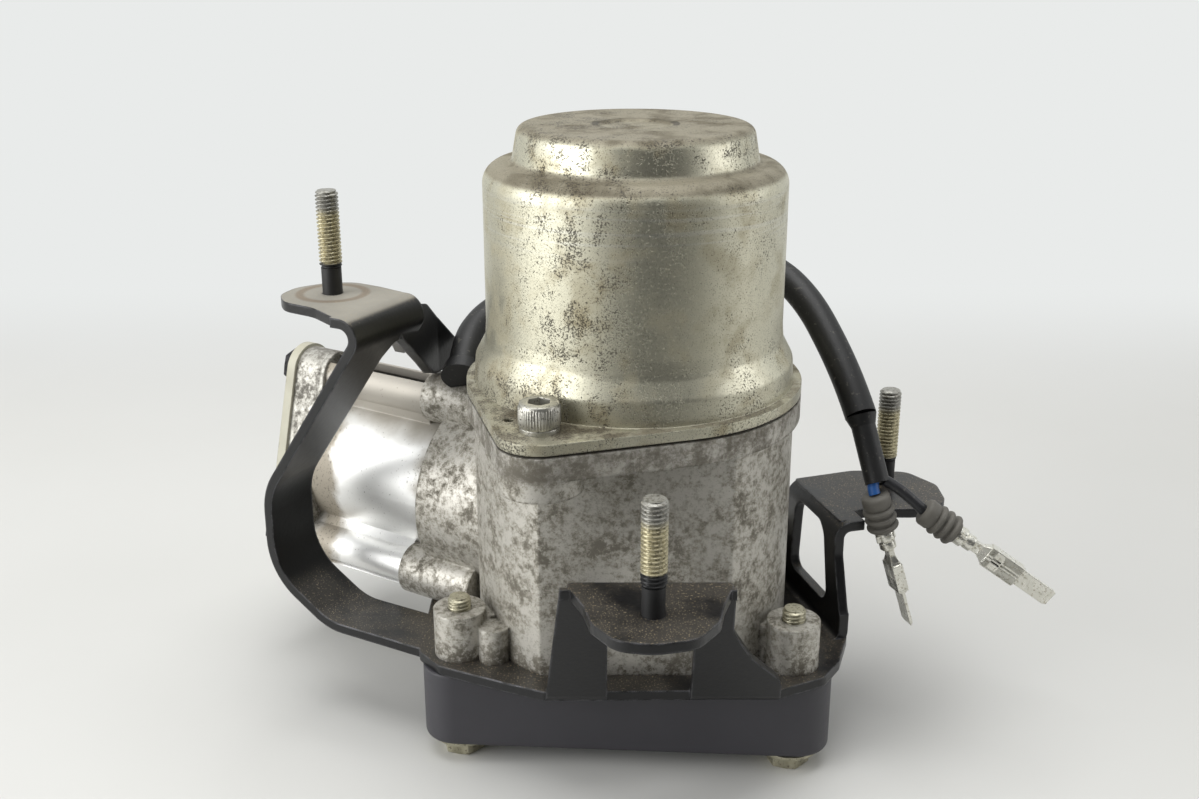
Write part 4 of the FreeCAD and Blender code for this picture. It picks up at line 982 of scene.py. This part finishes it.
def tab_terminal(name, route, end, replaced):
    """Blade terminal folded from strip, from its seal crimp to the tab's tip."""
    reach = (Vector(end) - Vector(route[-1])).length
    box = seal_length + crimp_run
    tab = reach - tab_run
    mesh = bmesh.new()
    crimp = [(0, seal_length), (2.4, seal_length), (2.6, seal_length + 0.4), (2.6, seal_length + 2.4),
             (2.2, seal_length + 2.7), (2.0, seal_length + 3.1), (2.2, seal_length + 3.5),
             (2.2, seal_length + 5.2), (1.6, seal_length + 5.8), (0, seal_length + 5.8)]
    lathe(mesh, crimp, 28)
    slab(mesh, 0.3, 0.9, seal_length + 0.5, seal_length + 2.4, middle=(1.1, 2.2))
    slab(mesh, 1.5, 0.8, seal_length + 5.0, box - 2.2)
    slab(mesh, 1.5, 0.8, box - 2.4, box + 0.4, taper=(1.9, 1.8))
    slab(mesh, half_box, half_sheet, box, tab, middle=(0, -lid))
    slab(mesh, half_sheet, 1.5, box, tab, middle=(2.75, 0))
    slab(mesh, half_sheet, 1.5, box, tab, middle=(-2.75, 0))
    slab(mesh, 2.5, 0.5, box + 0.3, tab - 0.3, middle=(0, -0.6))
    for side in (-1.75, 1.75):
        slab(mesh, 1.1, half_sheet, box, tab, middle=(side, lid))
    slab(mesh, 2.8, half_sheet, box, box + 1.6, middle=(0, lid))
    slab(mesh, 0.3, half_sheet, box, tab, middle=(0, lid))
    slab(mesh, 2.8, half_sheet, box + 4.2, tab, middle=(0, lid))
    slab(mesh, 2.95, 1.55, tab - 0.5, tab + 0.6, taper=(0.93, 0.45))
    slab(mesh, 2.4, 0.45, tab - 0.4, reach - 1.0)
    slab(mesh, 2.4, 0.45, reach - 1.0, reach, taper=(0.86, 0.4))
    roll = Matrix.Rotation(math.radians(terminal_roll[name.split("_")[0]]), 4, "Z")
    piece = finished(name, mesh, towards(route[-1], end) @ roll, 30)
    return stands_for(piece, finishes["tin"], "tinned_metal", replaced)


short_tab = tab_terminal("short_terminal_crimped", short_route, short_end, "short_terminal")
long_tab = tab_terminal("long_terminal_crimped", long_route, long_end, "long_terminal")
print("terminals 2")

# %% [markdown]
# The sleeve is one cord, 168 millimetres long, that leaves the casting at the first point
# of its route. This cell only prints its name.

# %% The lead as one cord
print("cord", sleeve.name)

# %% [markdown]
# A product photograph is mostly light. The pump stands on a white table in front of a white
# wall. The wall is only a colour: the world shows it, and the far end of the table fades
# into it for rays that are seen straight, mirrored or through glass. A real wall would need
# its own light to look as even.


# %% Table
def flat_sheet(name, corners):
    """One flat face from its corners, in metres."""
    mesh = bmesh.new()
    mesh.faces.new([mesh.verts.new(corner) for corner in corners])
    return finished(name, mesh)


table_level = min(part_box("base_bolt_front_left")[0].z, cad_low.z)
table_side = 1.6
table_front = -1.4
table_back = 0.46
table = flat_sheet("table", [(-table_side, table_front, table_level), (table_side, table_front, table_level),
                             (table_side, table_back, table_level), (-table_side, table_back, table_level)])
wall_white = tone(233, 235, 234)


def seen_plainly(paint):
    """1 for rays that show the background: straight ones, mirrored ones and those through glass."""
    rays = [paint.node("ShaderNodeLightPath", out=kind)
            for kind in ("Is Camera Ray", "Is Glossy Ray", "Is Transmission Ray")]
    return rays[0].most(rays[1]).most(rays[2])


table_paint = Paint("table_white", Roughness=0.6)
table_cloud = clouds(table_paint, 9, 4)
table_paint.set(Base_Color=mixed(table_paint, tone(210, 210, 207), tone(204, 204, 200), table_cloud))
glow = table_paint.node("ShaderNodeEmission", inputs={"Color": wall_white})
far = step(table_paint, along_axis(table_paint, "Y"), 0.2, table_back)
table_surface = table_paint.node("ShaderNodeMixShader", inputs={
    0: far * seen_plainly(table_paint), 1: Wire(table_paint, table_paint.shader.outputs[0]), 2: glow})
output = table_paint.tree.nodes["Material Output"]
table_paint.feed(output.inputs["Surface"], table_surface)
wear(table, table_paint.material)
table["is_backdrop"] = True
print("table at", round(table_level / mm, 1), "mm")

# %% [markdown]
# Bright metal is a mirror, so half of its look is what stands round it. The dark band down
# the can is the room behind the camera. Grey cards that only reflections see stand in front
# and at the right, and one lies on the table before the pump.

# %% Cards for reflections
card_paint = Paint("card_grey", Roughness=0.9)
card_paint.set(Base_Color=tone(48, 48, 50))
near = table_level + 0.0005
cards = {
    "front_card": [(-0.75, -1.1, -0.3), (1.3, -1.1, -0.3), (1.3, -1.1, 1.4), (-0.75, -1.1, 1.4)],
    "right_card": [(1.3, -1.1, -0.3), (1.3, 0.1, -0.3), (1.3, 0.1, 1.4), (1.3, -1.1, 1.4)],
    "lying_card": [(-0.2, -1.1, near), (0.55, -1.1, near), (0.34, -0.22, near), (-0.1, -0.22, near)]}
for name, corners in cards.items():
    card = flat_sheet(name, corners)
    wear(card, card_paint.material)
    card.visible_camera = False
    card.visible_diffuse = False
    card.visible_shadow = False
    card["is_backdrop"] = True
print("cards", len(cards))

# %% [markdown]
# A wide lamp overhead gives the soft shadow, a second one at the left draws the bright band
# down the can, and a weak third one lifts the right side.


# %% Lamps
def lamp(name, spot, target, width, depth, power):
    """Rectangular soft lamp that looks at a point."""
    data = bpy.data.lights.new(name, "AREA")
    data.shape = "RECTANGLE"
    data.size = width
    data.size_y = depth
    data.energy = power
    made = bpy.data.objects.new(name, data)
    made.location = spot
    made.rotation_mode = "QUATERNION"
    made.rotation_quaternion = (Vector(target) - Vector(spot)).to_track_quat("-Z", "Y")
    bpy.context.scene.collection.objects.link(made)


middle = (0, 0, 0.07)
lamp("overhead", (-0.05, 0.05, 0.95), middle, 0.9, 0.7, 7.6)
lamp("left_window", (-0.85, -0.35, 0.35), middle, 0.8, 0.7, 8.0)
lamp("right_fill", (0.9, -0.15, 0.35), middle, 0.5, 0.6, 2.4)
print("lamps 3")

# %% [markdown]
# The world has two tones: the wall's white for every ray that shows the background, and an
# even grey for the light that it gives. The Standard view keeps colours as they are mixed.

# %% World
world = bpy.data.worlds.new("white_room")
bpy.context.scene.world = world
world.use_nodes = True
room = Board(world.node_tree)
room.feed(world.node_tree.nodes["Background"].inputs["Color"],
          mixed(room, (0.3, 0.3, 0.3, 1.0), wall_white, seen_plainly(room)))
bpy.context.scene.view_settings.view_transform = "Standard"
print("world", world.name)

# %% [markdown]
# Last comes the box of the dressed model. The frame's own box was printed at the start,
# so that both can be compared.

# %% Sizes and the end
low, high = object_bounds()
print("visual box", [round(v / mm, 1) for v in high - low])
